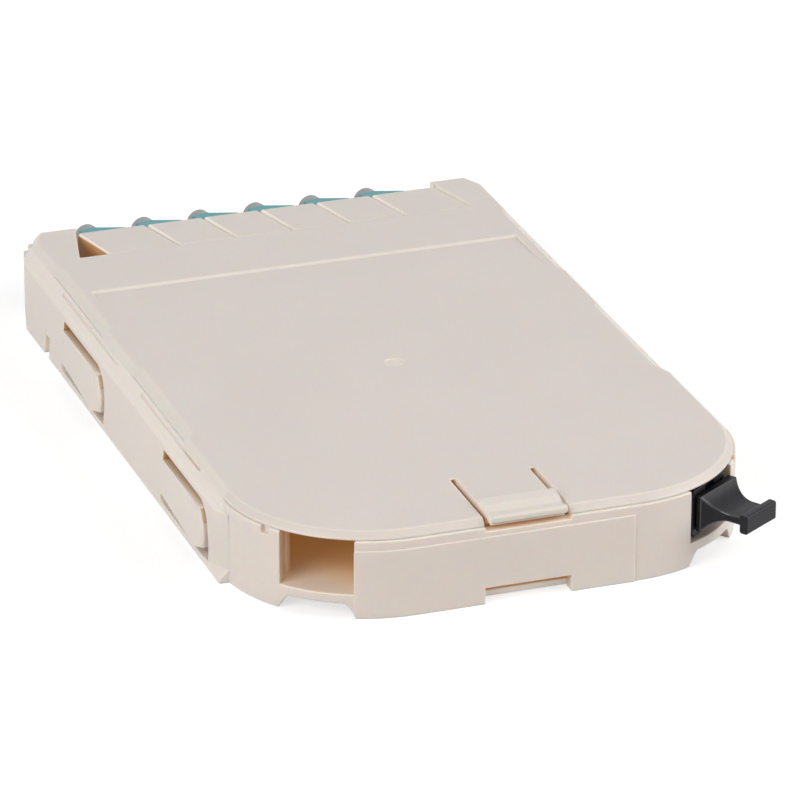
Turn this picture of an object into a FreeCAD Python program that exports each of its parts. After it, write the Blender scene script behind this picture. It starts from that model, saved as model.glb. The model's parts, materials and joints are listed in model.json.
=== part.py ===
import FreeCAD, Part
import math
import os

# Fibre cassette: a flat moulded box with six angled duplex couplers along its
# front edge and two trunk ports in its large-radius rear corners.
# Millimetres, +Z up, couplers face -Y, origin under the middle of the part.

V = FreeCAD.Vector
UP = V(0, 0, 1)

# Couplers
LANES = 6
LANE_TILT = 14.0        # degrees, couplers point to one side
LANE_GAP = 0.52         # between the flanges of neighbours
LC_W = 9.4              # coupler body across
LC_SHELL = 0.825        # shell above and below the ports
LC_NOSE = 8.3           # hood in front of the fingers
LC_TAIL = 18.0          # body behind the finger edge
LC_TAIL_EDGE = 0.5      # chamfer of the tail
LC_SLANT = 3.6          # hood cut back on its latch side
LC_SLANT_W = 5.8
LC_FLANGE_SIDE = 1.2    # flange beyond the body, each side
LC_FLANGE_RISE = 0.65   # flange beyond the body, above and below
LC_FLANGE_T = 2.0
LC_FLANGE_Y = 7.0       # flange behind the finger edge
LC_PITCH = 6.25         # the two ports, one above the other
LC_PORT = 4.9
LC_OFF = 1.2            # ports stand off the latch side
LC_KEY_W = 1.5
LC_KEY_H = 2.6
LC_CORE = 2.0           # mid wall between outer and inner ports
LC_CORE_Y = 4.0
SLEEVE_L = 6.8
SLEEVE_R = 0.8
SLEEVE_T = 0.175
SLEEVE_FIT = 0.02
BOSS_T = 0.75
FIT = 0.1               # sliding seats
RUN = 0.3               # moving pieces from their neighbours

# Housing envelope
BODY_L = 168.4          # front face of the end posts to the rear wall
END_W = 8.35            # plate beside the window of the fingers
WINDOW_SPARE = 12.1     # window wider than the row of couplers
CORNER_R = 29.5         # rear corners in plan
WALL = 2.4              # side and rear walls
COVER_T = 1.6           # top plate
HEAD_ROOM = 0.2         # coupler flange below the plate
FLOOR_T = 2.0           # raised floor of the rear bay
SKIRT_H = 3.0           # wall below the raised floor
SILL_T = 2.3            # low floor of the front bay
SEAT_D = 0.5            # flange seats sunk in the low floor
FRONT_BAY = 42.0        # length of the low floor
NOSE_X = 0.65           # lead-in taper of the nose, across
NOSE_Y = 2.52           # lead-in taper of the nose, along
POST_W = 8.0            # end posts beside the couplers
POST_L = 15.0
STAIR_X = 1.25          # steps at the outer top corner of each post
STAIR_Z = 1.35
STAIR_TOP = 0.65
STAIR_L = 3.5

# Drafted cheeks of the side walls
CHEEK_OUT = 1.8         # foot of the cheek beyond the wall
CHEEK_FOOT = 0.6
CHEEK_TOP = 0.8         # top of the draft beyond the wall
CHEEK_DROP = 3.1        # top of the draft below the wall's top
CHEEK_FADE = 12.0       # run-out towards the rear corner
RAIL_PAST = 4.0         # cheek runs past the start of the rear corner
RAIL_H = 2.8
SHOULDER_OUT = 0.2      # sloping shoulder between draft and cover
SHOULDER_DROP = 1.9
SHOULDER_IN = 1.3
SHOULDER_MID = 0.9
SHOULDER_MID_DROP = 0.5
NICK_FRONT = 22.9       # nick in the foot of the cheek, from the front face
NICK_L = 3.4
NICK_H = 4.4
NICK_D = 1.5
TONGUE_L = 28.0         # spring tongue cut in the cheek
TONGUE_H = 7.1
TONGUE_R = 5.0          # rounded free corner
TONGUE_Z0 = 3.0
TONGUE_SLIT = 1.9
TONGUE_BULGE = 1.4      # lower edge flares out towards the free end
TONGUE_PROUD = 0.1
TONGUE_END = 1.8        # bevelled end face
TONGUE_FRONT = 63.5     # free end of the front tongue to the front face
TONGUE_REAR = 35.9      # free end of the rear tongue to the rear wall
FLEX_ROOM = 1.4         # free space behind each tongue

# Top plate
COVER_EDGE = 0.6        # plate inside the rear wall
COVER_SIDE = 1.3        # plate inside the side walls
COVER_NOSE_X = 2.0      # taper of the plate's front corners
COVER_NOSE_Y = 4.2
EDGE = 1.2              # bevelled rim of the plate
BAND_IN = 0.9           # rim steps in along the snap bands
BAND_RAMP = 2.0
BAND_FRONT = 19.8       # front face to the first band
TAB_L = 27.4            # wide tab from the second band to the rear corner
BAND_GAP = 19.0         # between the bands
GROOVE_W = 0.6          # channel in the shoulder beside each band
GROOVE_D = 1.5
GROOVE_IN = 0.15        # channel clear of the plate
GROOVE_START = 9.2      # channel starts behind the band's front end
GROOVE_OVER = 12.0      # and runs past its rear end
LABEL_BACK = 34.8       # step of the sunk panel to the front face
LABEL_L = 18.6
LABEL_IN = 5.35         # panel inside the wall line
LABEL_D = 0.45
GATE_Y = 77.6           # round moulding mark to the rear wall
GATE_R = 2.0
GATE_D = 0.2
LIP_T = 1.2             # locating lip inside the wall
LIP_H = 2.2
LIP_CLEAR = 0.25
LATCH_W = 15.2          # latch tongue between its slits
LATCH_SLIT = 1.2
LATCH_L = 20.3
PAD_L = 7.5             # raised thumb pad on the latch
PAD_RISE = 1.2          # at its inner edge
PAD_LOW = 0.62          # in the thumb hollow
PAD_LIP = 0.72          # at the lip behind the hollow
PAD_NOSE = 1.3          # rounded rear end of the pad
PAD_OUT = 0.3
PAD_SIDE = 0.25         # pad wider than the tongue, each side
PAD_DROP = 0.4          # hook of the pad below the plate
PAD_HOOK = 0.8
NOTCH_D = 0.8           # wall cut below the latch nose
FOOT_NOTCH_H = 3.4      # wall cut at the bottom edge
CATCH_GAP = 0.5         # catch bar clear of the wall and the floor
CATCH_L = 6.0
CATCH_T = 2.3
CATCH_SIDE = 2.0        # catch bar beyond the notch, each side
PANEL_TOP = 14.2        # shallow raised field on the rear wall, up to the empty port
PANEL_OUT = 0.25
PANEL_IN = 1.1          # its plain end inside the flat of the wall
KEYHOLE_ANGLE = 29.9    # small slot beside each trunk port, degrees from the side
KEYHOLE_W = 2.0
KEYHOLE_H = 1.5
KEYHOLE_D = 1.2

# Fingers of the plate over the couplers
FINGER_BACK = 2.8       # front edge of the fingers behind the front face
FINGER_L = 13.6
FINGER_SLIT = 0.9
FINGER_RIB = 1.2        # stiffener under the free edge of the first finger
FINGER_DROP = 0.2       # fingers slope down to the front

# Dust caps of the couplers
CAP_R = 2.9
CAP_L = 4.0
CAP_EDGE = 0.45         # first bevel of the round grip
CAP_DOME = 1.1          # second bevel, across
CAP_SIDES = 24          # flats around the grip
CAP_SHANK = 8.0
CAP_WALL = 0.5
CAP_BAR_W = 2.2
CAP_BAR_L = 1.6

# Plugs on the inner side of the couplers
PLUG_CLEAR = 0.2        # plug inside its port
PLUG_L = 17.0
PLUG_GAP = 0.5
FERRULE_FIT = 0.025
FERRULE_L = 3.6
CLIP_L = 5.0
CLIP_SIDE = 0.8
STUB_R = 1.4
STUB_FLARE = 0.8
STUB_L = 6.0

# Trunk ports in the rear corners
PORT_ANGLE = 38.0       # degrees from the rear direction
PORT_W = 15.1
JAMB_W = 3.2
JAMB_L = 6.2
SLOT_D = 1.2            # jamb groove for the flange
SLOT_Y = 2.0            # groove behind the wall's chord
FOOT_IN = 1.0           # cut below the port, narrower at its top
FOOT_FLARE = 0.4        # and wider at the skirt edge
FOOT_EDGE = 0.8
MPO_W = 13.2
MPO_H = 9.9
MPO_EDGE = 0.8
MPO_IN = 21.0           # body inside the chord
MPO_OUT = 0.4           # mouth inside the chord
MPO_FLANGE_T = 2.0
MPO_BORE_W = 10.0
MPO_BORE_H = 7.4
MPO_KEY_W = 3.0
MPO_KEY_H = 0.8
MPO_FIT = 0.15

# Pull cap of the trunk port
PULL_W = 12.2           # block of the grip at the port's mouth
PULL_H = 7.4
PULL_BLOCK = 1.3        # block outside the chord
PULL_COLLAR = 0.8       # collar outside the chord
PULL_SHIFT = 0.55       # grip off the port's axis
PULL_TURN = 5.2         # and askew, degrees
PULL_HOLLOW_L = 5.3     # hollowed faces from the block to the neck
PULL_HOLLOW_AT = 0.3    # middle of their arcs, share of the length
PULL_HOLLOW_SAG = 0.46  # and share of the height left there
PULL_NECK_W = 7.9
PULL_NECK_T = 1.7
PULL_BAR_Y = 8.4        # cross bar from the block
PULL_BAR_T = 1.9
PULL_BAR_W = 9.6
PULL_BAR_H = 3.9
PULL_BAR_EDGE = 0.5
PULL_PLUG = 7.5

# Trunk plug, lead, fan-out and leads
TRUNK_PLUG_FRONT = 11.0
TRUNK_SHELL_W = 12.4
TRUNK_SHELL_H = 9.0
TRUNK_SHELL_L = 7.0
TRUNK_SHELL_GAP = 3.0   # shell behind the coupler
TRUNK_SHELL_EDGE = 0.8
BOOT_L = 9.0
BOOT_R0 = 3.3
BOOT_R1 = 2.0
TRUNK_R = 1.5
TRUNK_RUN = 12.0
TRUNK_DOWN = 14.0
TRUNK_BEND = 18.0
FAN_EDGE = 2.2          # block beyond the outer leads
FAN_L = 14.0
FAN_TOP = 2.4           # block above the trunk's axis
FAN_R = 1.5
LEAD_R = 0.8
LEAD_PITCH = 2.4
LEAD_RUN = 8.0
LEAD_BEND = 9.0
TUBE_SIDES = 8          # flats of cords, sleeves and ferrules

# Slack guides on the raised floor
GUIDE_R = 12.0
GUIDE_T = 1.4
GUIDE_H = 7.5
GUIDE_X = 34.0
GUIDE_Y = 72.0
GUIDE_OPEN = 12.0

# Derived sizes, levels and places
TILT = math.radians(LANE_TILT)
LC_H = LC_PITCH + LC_PORT + 2 * LC_SHELL
LC_FLANGE_W = LC_W + 2 * LC_FLANGE_SIDE
LC_FLANGE_H = LC_H + 2 * LC_FLANGE_RISE
LANE_PITCH = (LC_FLANGE_W + LANE_GAP) / math.cos(TILT)
WINDOW_W = LANES * LANE_PITCH + WINDOW_SPARE
BODY_W = WINDOW_W + 2 * END_W
PART_Z = SILL_T - SEAT_D + LC_FLANGE_H + HEAD_ROOM
BODY_H = PART_Z + COVER_T
HALF = BODY_W / 2
FRONT = -BODY_L
FLOOR_Z = SKIRT_H + FLOOR_T
MID_Z = SILL_T - SEAT_D + LC_FLANGE_H / 2
PORT_LEVELS = (MID_Z - LC_PITCH / 2, MID_Z + LC_PITCH / 2)
BAY_Y = FRONT + FRONT_BAY
FINGER_Y = FRONT + FINGER_BACK
LANE_X0 = LANE_PITCH * (LANES - 1) / 2
CORE_MID = LC_CORE_Y + LC_CORE / 2
PLUG_Y = CORE_MID + SLEEVE_L / 2 + PLUG_GAP
RAIL_REAR = CORNER_R - RAIL_PAST
BAND_REAR = CORNER_R + TAB_L
BAND_L = (BODY_L - BAND_FRONT - BAND_REAR - BAND_GAP) / 2
BANDS = (FRONT + BAND_FRONT, -BAND_REAR - BAND_L)
PORT_Z = (FLOOR_Z + PART_Z) / 2
PORT_RAD = math.radians(PORT_ANGLE)
CHORD = math.sqrt(CORNER_R ** 2 - (PORT_W / 2) ** 2)
PORT_X = HALF - CORNER_R + CHORD * math.sin(PORT_RAD)
PORT_Y = -CORNER_R + CHORD * math.cos(PORT_RAD)
BOOT_Y = -MPO_IN - TRUNK_SHELL_GAP - TRUNK_SHELL_L
NOTCH_X = LATCH_W / 2 + LATCH_SLIT


def slab(x0, x1, y0, y1, z0, z1):
    """Block between two corners."""
    return Part.makeBox(x1 - x0, y1 - y0, z1 - z0, V(x0, y0, z0))


def prism(points, z0, z1):
    """Upright prism over a plan polygon."""
    loop = [V(x, y, z0) for x, y in points]
    face = Part.Face(Part.makePolygon(loop + loop[:1]))
    return face.extrude(V(0, 0, z1 - z0))


def side_prism(points, x0, x1):
    """Prism along X over a polygon in Y and Z."""
    loop = [V(x0, y, z) for y, z in points]
    face = Part.Face(Part.makePolygon(loop + loop[:1]))
    return face.extrude(V(x1 - x0, 0, 0))


def end_prism(points, y0, y1):
    """Prism along Y over a polygon in X and Z."""
    loop = [V(x, y0, z) for x, z in points]
    face = Part.Face(Part.makePolygon(loop + loop[:1]))
    return face.extrude(V(0, y1 - y0, 0))


def flats(radius, centre, heading, sides=TUBE_SIDES):
    """Many-sided ring square to a level heading."""
    along = V(heading).normalize()
    across = along.cross(UP)
    loop = []
    for step in range(sides):
        angle = 2 * math.pi * (step + 0.5) / sides
        loop.append(centre + across * (radius * math.cos(angle)) + UP * (radius * math.sin(angle)))
    return Part.makePolygon(loop + loop[:1])


def rod(radius, y0, y1, x, z):
    """Many-sided bar along Y."""
    return Part.Face(flats(radius, V(x, y0, z), V(0, 1, 0))).extrude(V(0, y1 - y0, 0))


def spike(r0, r1, y0, y1, x, z):
    """Many-sided taper along Y."""
    heading = V(0, 1, 0)
    return Part.makeLoft([flats(r0, V(x, y0, z), heading), flats(r1, V(x, y1, z), heading)], True, True)


def mirrored(shape):
    """Copy on the other side of the part's middle plane."""
    return shape.mirror(V(0, 0, 0), V(1, 0, 0))


def both(shape):
    """Shape with its mirror image."""
    return [shape, mirrored(shape)]


def in_lane(shape, index):
    """Shape drawn along Y, laid on the tilted axis of a coupler lane."""
    moved = shape.copy()
    moved.rotate(V(0, 0, 0), UP, LANE_TILT)
    moved.translate(V(LANE_X0 - LANE_PITCH * index, FINGER_Y, 0))
    return moved


def in_port(shape, side):
    """Shape drawn along +Y, laid on the axis of a corner port."""
    moved = shape.copy()
    moved.rotate(V(0, 0, 0), UP, -side * PORT_ANGLE)
    moved.translate(V(side * PORT_X, PORT_Y, 0))
    return moved


def at_corner(shape):
    """Shape drawn along +X from the corner's centre, turned to the keyhole."""
    moved = shape.copy()
    moved.rotate(V(0, 0, 0), UP, KEYHOLE_ANGLE)
    moved.translate(V(HALF - CORNER_R, -CORNER_R, 0))
    return moved


def lane_point(index, across, ahead):
    """Plan point of a lane, ahead of the finger edge."""
    x = LANE_X0 - LANE_PITCH * index
    x += across * math.cos(TILT) + ahead * math.sin(TILT)
    y = FINGER_Y + across * math.sin(TILT) - ahead * math.cos(TILT)
    return V(x, y, MID_Z)


def port_point(side, out):
    """Plan point on the axis of a corner port, outside the wall's chord."""
    x = side * (PORT_X + out * math.sin(PORT_RAD))
    y = PORT_Y + out * math.cos(PORT_RAD)
    return V(x, y, PORT_Z)


def outline(inset, front):
    """Plan of the housing: straight sides, round rear corners, tapered nose."""
    w = HALF - inset
    r = CORNER_R - inset
    c = HALF - CORNER_R
    k = r * math.sqrt(0.5)
    nose = V(w - NOSE_X, front, 0)
    side = V(w, front + NOSE_Y, 0)
    bend = V(w, -CORNER_R, 0)
    mid = V(c + k, -CORNER_R + k, 0)
    back = V(c, -inset, 0)
    flip = [V(-p.x, p.y, 0) for p in (nose, side, bend, mid, back)]
    edges = [
        Part.makeLine(nose, side),
        Part.makeLine(side, bend),
        Part.Arc(bend, mid, back).toShape(),
        Part.makeLine(back, flip[4]),
        Part.Arc(flip[4], flip[3], flip[2]).toShape(),
        Part.makeLine(flip[2], flip[1]),
        Part.makeLine(flip[1], flip[0]),
        Part.makeLine(flip[0], nose),
    ]
    return Part.Face(Part.Wire(edges))


def raised(inset, z0, z1, front=FRONT):
    """Housing plan pulled up between two levels."""
    shape = outline(inset, front).extrude(V(0, 0, z1 - z0))
    shape.translate(V(0, 0, z0))
    return shape


def routed_cord(points, radius, bend):
    """Cord along straight runs joined by tangent arcs."""
    edges = []
    start = points[0]
    for before, corner, after in zip(points, points[1:], points[2:]):
        a = (before - corner).normalize()
        b = (after - corner).normalize()
        half = math.acos(max(-1.0, min(1.0, a.dot(b)))) / 2
        reach = bend / math.tan(half)
        p = corner + a * reach
        q = corner + b * reach
        axis = (a + b).normalize()
        middle = corner + axis * (bend / math.sin(half) - bend)
        edges.append(Part.makeLine(start, p))
        edges.append(Part.Arc(p, middle, q).toShape())
        start = q
    edges.append(Part.makeLine(start, points[-1]))
    ring = flats(radius, points[0], points[1] - points[0])
    return Part.Wire(edges).makePipeShell([ring], True, False)


def make_shell():
    """Walls, stepped floor and end posts."""
    shell = raised(0, 0, PART_Z)
    step_y = BAY_Y - FLOOR_T
    rear_room = raised(WALL, FLOOR_Z, PART_Z + 1).common(slab(-HALF, HALF, step_y, 1, 0, BODY_H))
    front_room = raised(WALL, SILL_T, PART_Z + 1, FRONT - WALL)
    front_room = front_room.common(slab(-HALF, HALF, FRONT - WALL, step_y, 0, BODY_H))
    under_room = raised(WALL, -1, SKIRT_H).common(slab(-HALF, HALF, BAY_Y, 1, -2, BODY_H))
    shell = shell.cut([rear_room, front_room, under_room])
    post = raised(0, 0, PART_Z).common(slab(HALF - POST_W, HALF, FRONT, FRONT + POST_L, 0, PART_Z))
    return shell.fuse(both(post))


def make_cheek():
    """Drafted outer skin of the +X wall, with the rail along its foot."""
    inner = HALF - WALL / 2
    foot = HALF + CHEEK_OUT
    rear = -RAIL_REAR
    fade = rear - CHEEK_FADE
    top = PART_Z - SHOULDER_DROP
    skin = end_prism(
        [
            (inner, 0),
            (foot, 0),
            (foot, CHEEK_FOOT),
            (HALF + CHEEK_TOP, PART_Z - CHEEK_DROP),
            (HALF + SHOULDER_OUT, top),
            (inner, top),
        ],
        FRONT,
        rear,
    )
    nose_y = FRONT + (NOSE_X + CHEEK_OUT) * NOSE_Y / NOSE_X
    plan = prism(
        [(inner, FRONT), (HALF - NOSE_X, FRONT), (foot, nose_y), (foot, fade), (HALF, rear), (inner, rear)],
        -1,
        BODY_H,
    )
    rail = end_prism([(inner, 0), (foot, 0), (foot, CHEEK_FOOT), (HALF, RAIL_H), (inner, RAIL_H)], fade, rear)
    return skin.common(plan).fuse(rail)


def cheek_cuts():
    """Shoulder slope, stairs of the nose, foot nick and band channels, +X side."""
    far = HALF + CHEEK_OUT + 1
    high = PART_Z + 1
    top = PART_Z - SHOULDER_DROP
    edge = HALF - SHOULDER_IN
    rear = -RAIL_REAR
    slope = end_prism(
        [
            (HALF + SHOULDER_OUT, top),
            (HALF - SHOULDER_MID, PART_Z - SHOULDER_MID_DROP),
            (edge, PART_Z),
            (edge, high),
            (far, high),
            (far, top),
        ],
        FRONT - 1,
        rear,
    )
    plan = prism(
        [
            (edge, FRONT - 1),
            (far, FRONT - 1),
            (far, rear),
            (HALF + SHOULDER_OUT, rear),
            (edge, rear - CHEEK_FADE),
        ],
        0,
        BODY_H,
    )
    cuts = [slope.common(plan)]
    for step in (1, 2):
        x0 = HALF - NOSE_X - STAIR_X * (3 - step) + STAIR_TOP / 2
        z0 = PART_Z - STAIR_TOP - STAIR_Z * (step - 1)
        cuts.append(slab(x0, far, FRONT - 1, FRONT + STAIR_L, z0, high))
    nick_y = FRONT + NICK_FRONT
    cuts.append(slab(HALF + CHEEK_OUT - NICK_D, far, nick_y, nick_y + NICK_L, -1, NICK_H))
    channel_x = edge + GROOVE_IN
    for y0 in BANDS:
        ends = (y0 + GROOVE_START, y0 + BAND_L + GROOVE_OVER)
        cuts.append(slab(channel_x, channel_x + GROOVE_W, ends[0], ends[1], PART_Z - GROOVE_D, high))
    return cuts


def tongue_leaf(free_y, grow, x0, x1):
    """Side view of a spring tongue, pulled across the wall."""
    root_y = free_y - TONGUE_L
    z0 = TONGUE_Z0 - grow
    z1 = TONGUE_Z0 + TONGUE_H + grow
    y1 = free_y + grow
    r = TONGUE_R + grow
    k = r * (1 - math.sqrt(0.5))
    a = V(x0, root_y, z0)
    b = V(x0, y1, z0)
    c = V(x0, y1, z1 - r)
    m = V(x0, y1 - k, z1 - k)
    d = V(x0, y1 - r, z1)
    e = V(x0, root_y, z1)
    edges = [Part.makeLine(a, b), Part.makeLine(b, c), Part.Arc(c, m, d).toShape()]
    edges += [Part.makeLine(d, e), Part.makeLine(e, a)]
    return Part.Face(Part.Wire(edges)).extrude(V(x1 - x0, 0, 0))


def draft_x(z):
    """Outer face of the drafted cheek at a height."""
    top = PART_Z - CHEEK_DROP
    lean = (CHEEK_OUT - CHEEK_TOP) / (top - CHEEK_FOOT)
    return HALF + CHEEK_TOP + lean * (top - z)


def make_tongue(free_y):
    """Slit around a spring tongue and its flared face, +X side."""
    z0 = TONGUE_Z0
    z1 = TONGUE_Z0 + TONGUE_H
    inner = HALF - WALL / 2
    sections = []
    for y, flare in ((free_y - TONGUE_L, 0), (free_y - TONGUE_END, TONGUE_BULGE), (free_y, 0)):
        low_x = draft_x(z0) + TONGUE_PROUD + flare
        high_x = draft_x(z1) + TONGUE_PROUD
        corners = [V(inner, y, z0), V(low_x, y, z0), V(high_x, y, z1), V(inner, y, z1)]
        sections.append(Part.makePolygon(corners + corners[:1]))
    flared = Part.makeLoft(sections, True, True)
    outer = draft_x(z0) + TONGUE_BULGE + 1
    leaf = tongue_leaf(free_y, 0, HALF - WALL, outer)
    room = tongue_leaf(free_y, TONGUE_SLIT, HALF - WALL - FLEX_ROOM, outer)
    return room.cut(leaf), flared.common(leaf)


def make_jambs():
    """Pair of port jambs of the +X corner."""
    jamb = slab(PORT_W / 2, PORT_W / 2 + JAMB_W, -JAMB_L, JAMB_L, FLOOR_Z - FLOOR_T / 4, PART_Z)
    inside = raised(0, 0, BODY_H)
    return [in_port(shape, 1).common(inside) for shape in both(jamb)]


def port_cuts(side):
    """Mouth, flange groove and foot cut of a trunk port."""
    half = PORT_W / 2
    far = JAMB_L
    mouth = slab(-half, half, -JAMB_L - WALL, far, FLOOR_Z, PART_Z + 1)
    back = -SLOT_Y - MPO_FLANGE_T - 2 * FIT
    groove = slab(-half - SLOT_D, half + SLOT_D, back, -SLOT_Y, FLOOR_Z, PART_Z + 1)
    wide = half + FOOT_FLARE
    narrow = half - FOOT_IN
    foot = end_prism(
        [
            (-wide, -1),
            (wide, -1),
            (wide, 0),
            (narrow, SKIRT_H - FOOT_EDGE),
            (narrow - FOOT_EDGE, SKIRT_H),
            (FOOT_EDGE - narrow, SKIRT_H),
            (-narrow, SKIRT_H - FOOT_EDGE),
            (-wide, 0),
        ],
        -2 * WALL,
        far,
    )
    return [in_port(shape, side) for shape in (mouth, groove, foot)]


def make_catch():
    """Bar behind the bottom notch, hung from the raised floor."""
    half = NOTCH_X + CATCH_SIDE
    top = SKIRT_H - CATCH_GAP
    y1 = -WALL - CATCH_GAP
    y0 = y1 - CATCH_L
    bar = slab(-half, half, y0, y1, top - CATCH_T, top)
    hanger = slab(-half, half, y0, y0 + CATCH_T, top - CATCH_T, SKIRT_H + FLOOR_T / 2)
    return bar.fuse(hanger)


def make_guide():
    """Open ring for slack, standing on the raised floor."""
    foot = FLOOR_Z - FLOOR_T / 4
    ring = Part.makeCylinder(GUIDE_R, GUIDE_H, V(GUIDE_X, -GUIDE_Y, foot))
    bore = Part.makeCylinder(GUIDE_R - GUIDE_T, BODY_H, V(GUIDE_X, -GUIDE_Y, 0))
    far = GUIDE_R + 1
    gap = GUIDE_OPEN / 2
    gate = slab(GUIDE_X - far, GUIDE_X + far, -GUIDE_Y - gap, -GUIDE_Y + gap, 0, BODY_H)
    return ring.cut([bore, gate])


def make_field():
    """Raised skin of the rear wall, round one corner to the jamb of the empty port."""
    skin = raised(-PANEL_OUT, 0, PANEL_TOP).cut(raised(WALL / 2, -1, BODY_H))
    end = HALF - CORNER_R - PANEL_IN
    skin = skin.common(slab(-end, HALF, -CORNER_R, WALL, -1, BODY_H))
    beyond = slab(-PORT_W / 2, BODY_W, -CORNER_R, CORNER_R, -1, BODY_H)
    foot = port_cuts(1)[2]
    return skin.cut([in_port(beyond, 1), foot])


def make_base():
    """Tray: shell, cheeks, tongues, trunk ports, notches and inner fittings."""
    base = make_shell().fuse(both(make_cheek()))
    for jamb in make_jambs():
        base = base.fuse(both(jamb))
    cuts = port_cuts(1) + port_cuts(-1)
    for cut in cheek_cuts():
        cuts += both(cut)
    bulges = []
    for free_y in (FRONT + TONGUE_FRONT, -TONGUE_REAR):
        slit, bulge = make_tongue(free_y)
        cuts += both(slit)
        bulges += both(bulge)
    # Latch seat and bottom notch in the rear wall.
    cuts.append(slab(-NOTCH_X, NOTCH_X, -WALL - 1, 1, PART_Z - NOTCH_D, PART_Z + 1))
    foot_notch = slab(-NOTCH_X, NOTCH_X, -WALL - CATCH_GAP, 1, -1, FOOT_NOTCH_H)
    cuts.append(foot_notch)
    # Keyholes in the corner walls.
    keyhole = slab(
        CORNER_R - KEYHOLE_D, CORNER_R + 1, -KEYHOLE_W / 2, KEYHOLE_W / 2, PART_Z - KEYHOLE_H, PART_Z + 1
    )
    cuts += both(at_corner(keyhole))
    # Seats for the coupler flanges in the low floor.
    for index in range(LANES):
        half = LC_FLANGE_W / 2 + FIT
        y0 = LC_FLANGE_Y - FIT
        seat = slab(-half, half, y0, y0 + LC_FLANGE_T + 2 * FIT, SILL_T - SEAT_D, PART_Z)
        cuts.append(in_lane(seat, index))
    base = base.cut(cuts).fuse(bulges)
    base = base.fuse([make_catch(), make_field().cut(foot_notch)] + both(make_guide()))
    return base.removeSplitter()


def make_plate():
    """Blank of the cover: plan with snap bands and a rounded rim."""
    plate = raised(COVER_EDGE, PART_Z, BODY_H)
    side = HALF - COVER_SIDE
    corner = HALF - COVER_EDGE
    far = HALF + 1
    low = PART_Z - 1
    high = BODY_H + 1
    trim = [
        (side - COVER_NOSE_X, FRONT - 1),
        (side - COVER_NOSE_X, FRONT),
        (side, FRONT + COVER_NOSE_Y),
        (side, -BAND_REAR),
        (corner, -BAND_REAR + BAND_RAMP),
        (far, -BAND_REAR + BAND_RAMP),
        (far, FRONT - 1),
    ]
    cuts = both(prism(trim, low, high))
    band = side - BAND_IN
    for y0 in BANDS:
        y1 = y0 + BAND_L
        recess = [
            (side, y0),
            (band, y0 + BAND_RAMP),
            (band, y1 - BAND_RAMP),
            (side, y1),
            (far, y1),
            (far, y0),
        ]
        cuts += both(prism(recess, low, high))
    plate = plate.cut(cuts).removeSplitter()
    rim = []
    for edge in plate.Edges:
        box = edge.BoundBox
        if box.ZMin > BODY_H - 0.01 and box.YMax > FRONT + 0.01:
            rim.append(edge)
    return plate.makeChamfer(EDGE, rim)


def finger_cuts(low, high):
    """Window in front of the fingers, their slope and the slits between them."""
    root = FINGER_Y + FINGER_L
    lean = math.tan(TILT)
    half_root = WINDOW_W / 2
    spread = FINGER_L * lean
    half_front = half_root - spread
    half_open = half_front - (FINGER_BACK + 1) * lean
    far = FRONT - 1
    window = [(-half_open, far), (half_open, far), (half_front, FINGER_Y), (-half_front, FINGER_Y)]
    cuts = [prism(window, low, high)]
    slope = [(root, BODY_H), (FINGER_Y - 1, BODY_H - FINGER_DROP), (FINGER_Y - 1, high), (root, high)]
    cuts.append(side_prism(slope, -half_front + FIT, half_front - FIT))
    # Slits between the fingers follow the lanes.
    for index in range(LANES - 1):
        slit = slab(-FINGER_SLIT / 2, FINGER_SLIT / 2, -2, FINGER_L / math.cos(TILT), low, high)
        slit.rotate(V(0, 0, 0), UP, LANE_TILT)
        slit.translate(V(LANE_X0 - LANE_PITCH * (index + 0.5), FINGER_Y, 0))
        cuts.append(slit)
    # The last finger parts from its post, the first leaves a tapered hole.
    y0 = FINGER_Y - 1
    gap = FINGER_SLIT
    last = [(-half_front + gap, y0), (-half_front, y0), (-half_root, root), (-half_root + gap, root)]
    cuts.append(prism(last, low, high))
    first = [(half_front, y0), (half_root, root), (half_front - spread, root), (half_front - gap / 4, y0)]
    cuts.append(prism(first, low, high))
    return cuts


def finger_rib():
    """Stiffener that hangs under the free edge of the first finger."""
    spread = FINGER_L * math.tan(TILT)
    front = WINDOW_W / 2 - spread - FINGER_SLIT / 4
    root = front - spread
    plan = [
        (front, FINGER_Y),
        (root, FINGER_Y + FINGER_L),
        (root - FINGER_RIB, FINGER_Y + FINGER_L),
        (front - FINGER_RIB, FINGER_Y),
    ]
    return prism(plan, MID_Z, PART_Z + COVER_T / 2)


def make_pad():
    """Thumb pad: high inner edge, shallow hollow, lip and a hook inside the wall."""
    half = LATCH_W / 2 + PAD_SIDE
    hook = PART_Z - PAD_DROP
    under = PART_Z + COVER_T / 2
    inner = -WALL - FIT
    profile = [
        (-PAD_L, BODY_H - COVER_T / 4),
        (-PAD_L, BODY_H + PAD_RISE),
        (-PAD_L * 0.6, BODY_H + PAD_RISE * 0.9),
        (-PAD_L * 0.35, BODY_H + PAD_LOW),
        (-PAD_NOSE, BODY_H + PAD_LIP),
        (-PAD_NOSE / 3, BODY_H + PAD_LIP * 0.9),
        (PAD_OUT, BODY_H + PAD_LIP / 2),
        (PAD_OUT, under),
        (inner, under),
        (inner, hook),
        (inner - PAD_HOOK / 2, hook),
        (inner - PAD_HOOK, under),
        (inner - PAD_HOOK, BODY_H - COVER_T / 4),
    ]
    return side_prism(profile, -half, half)


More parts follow.
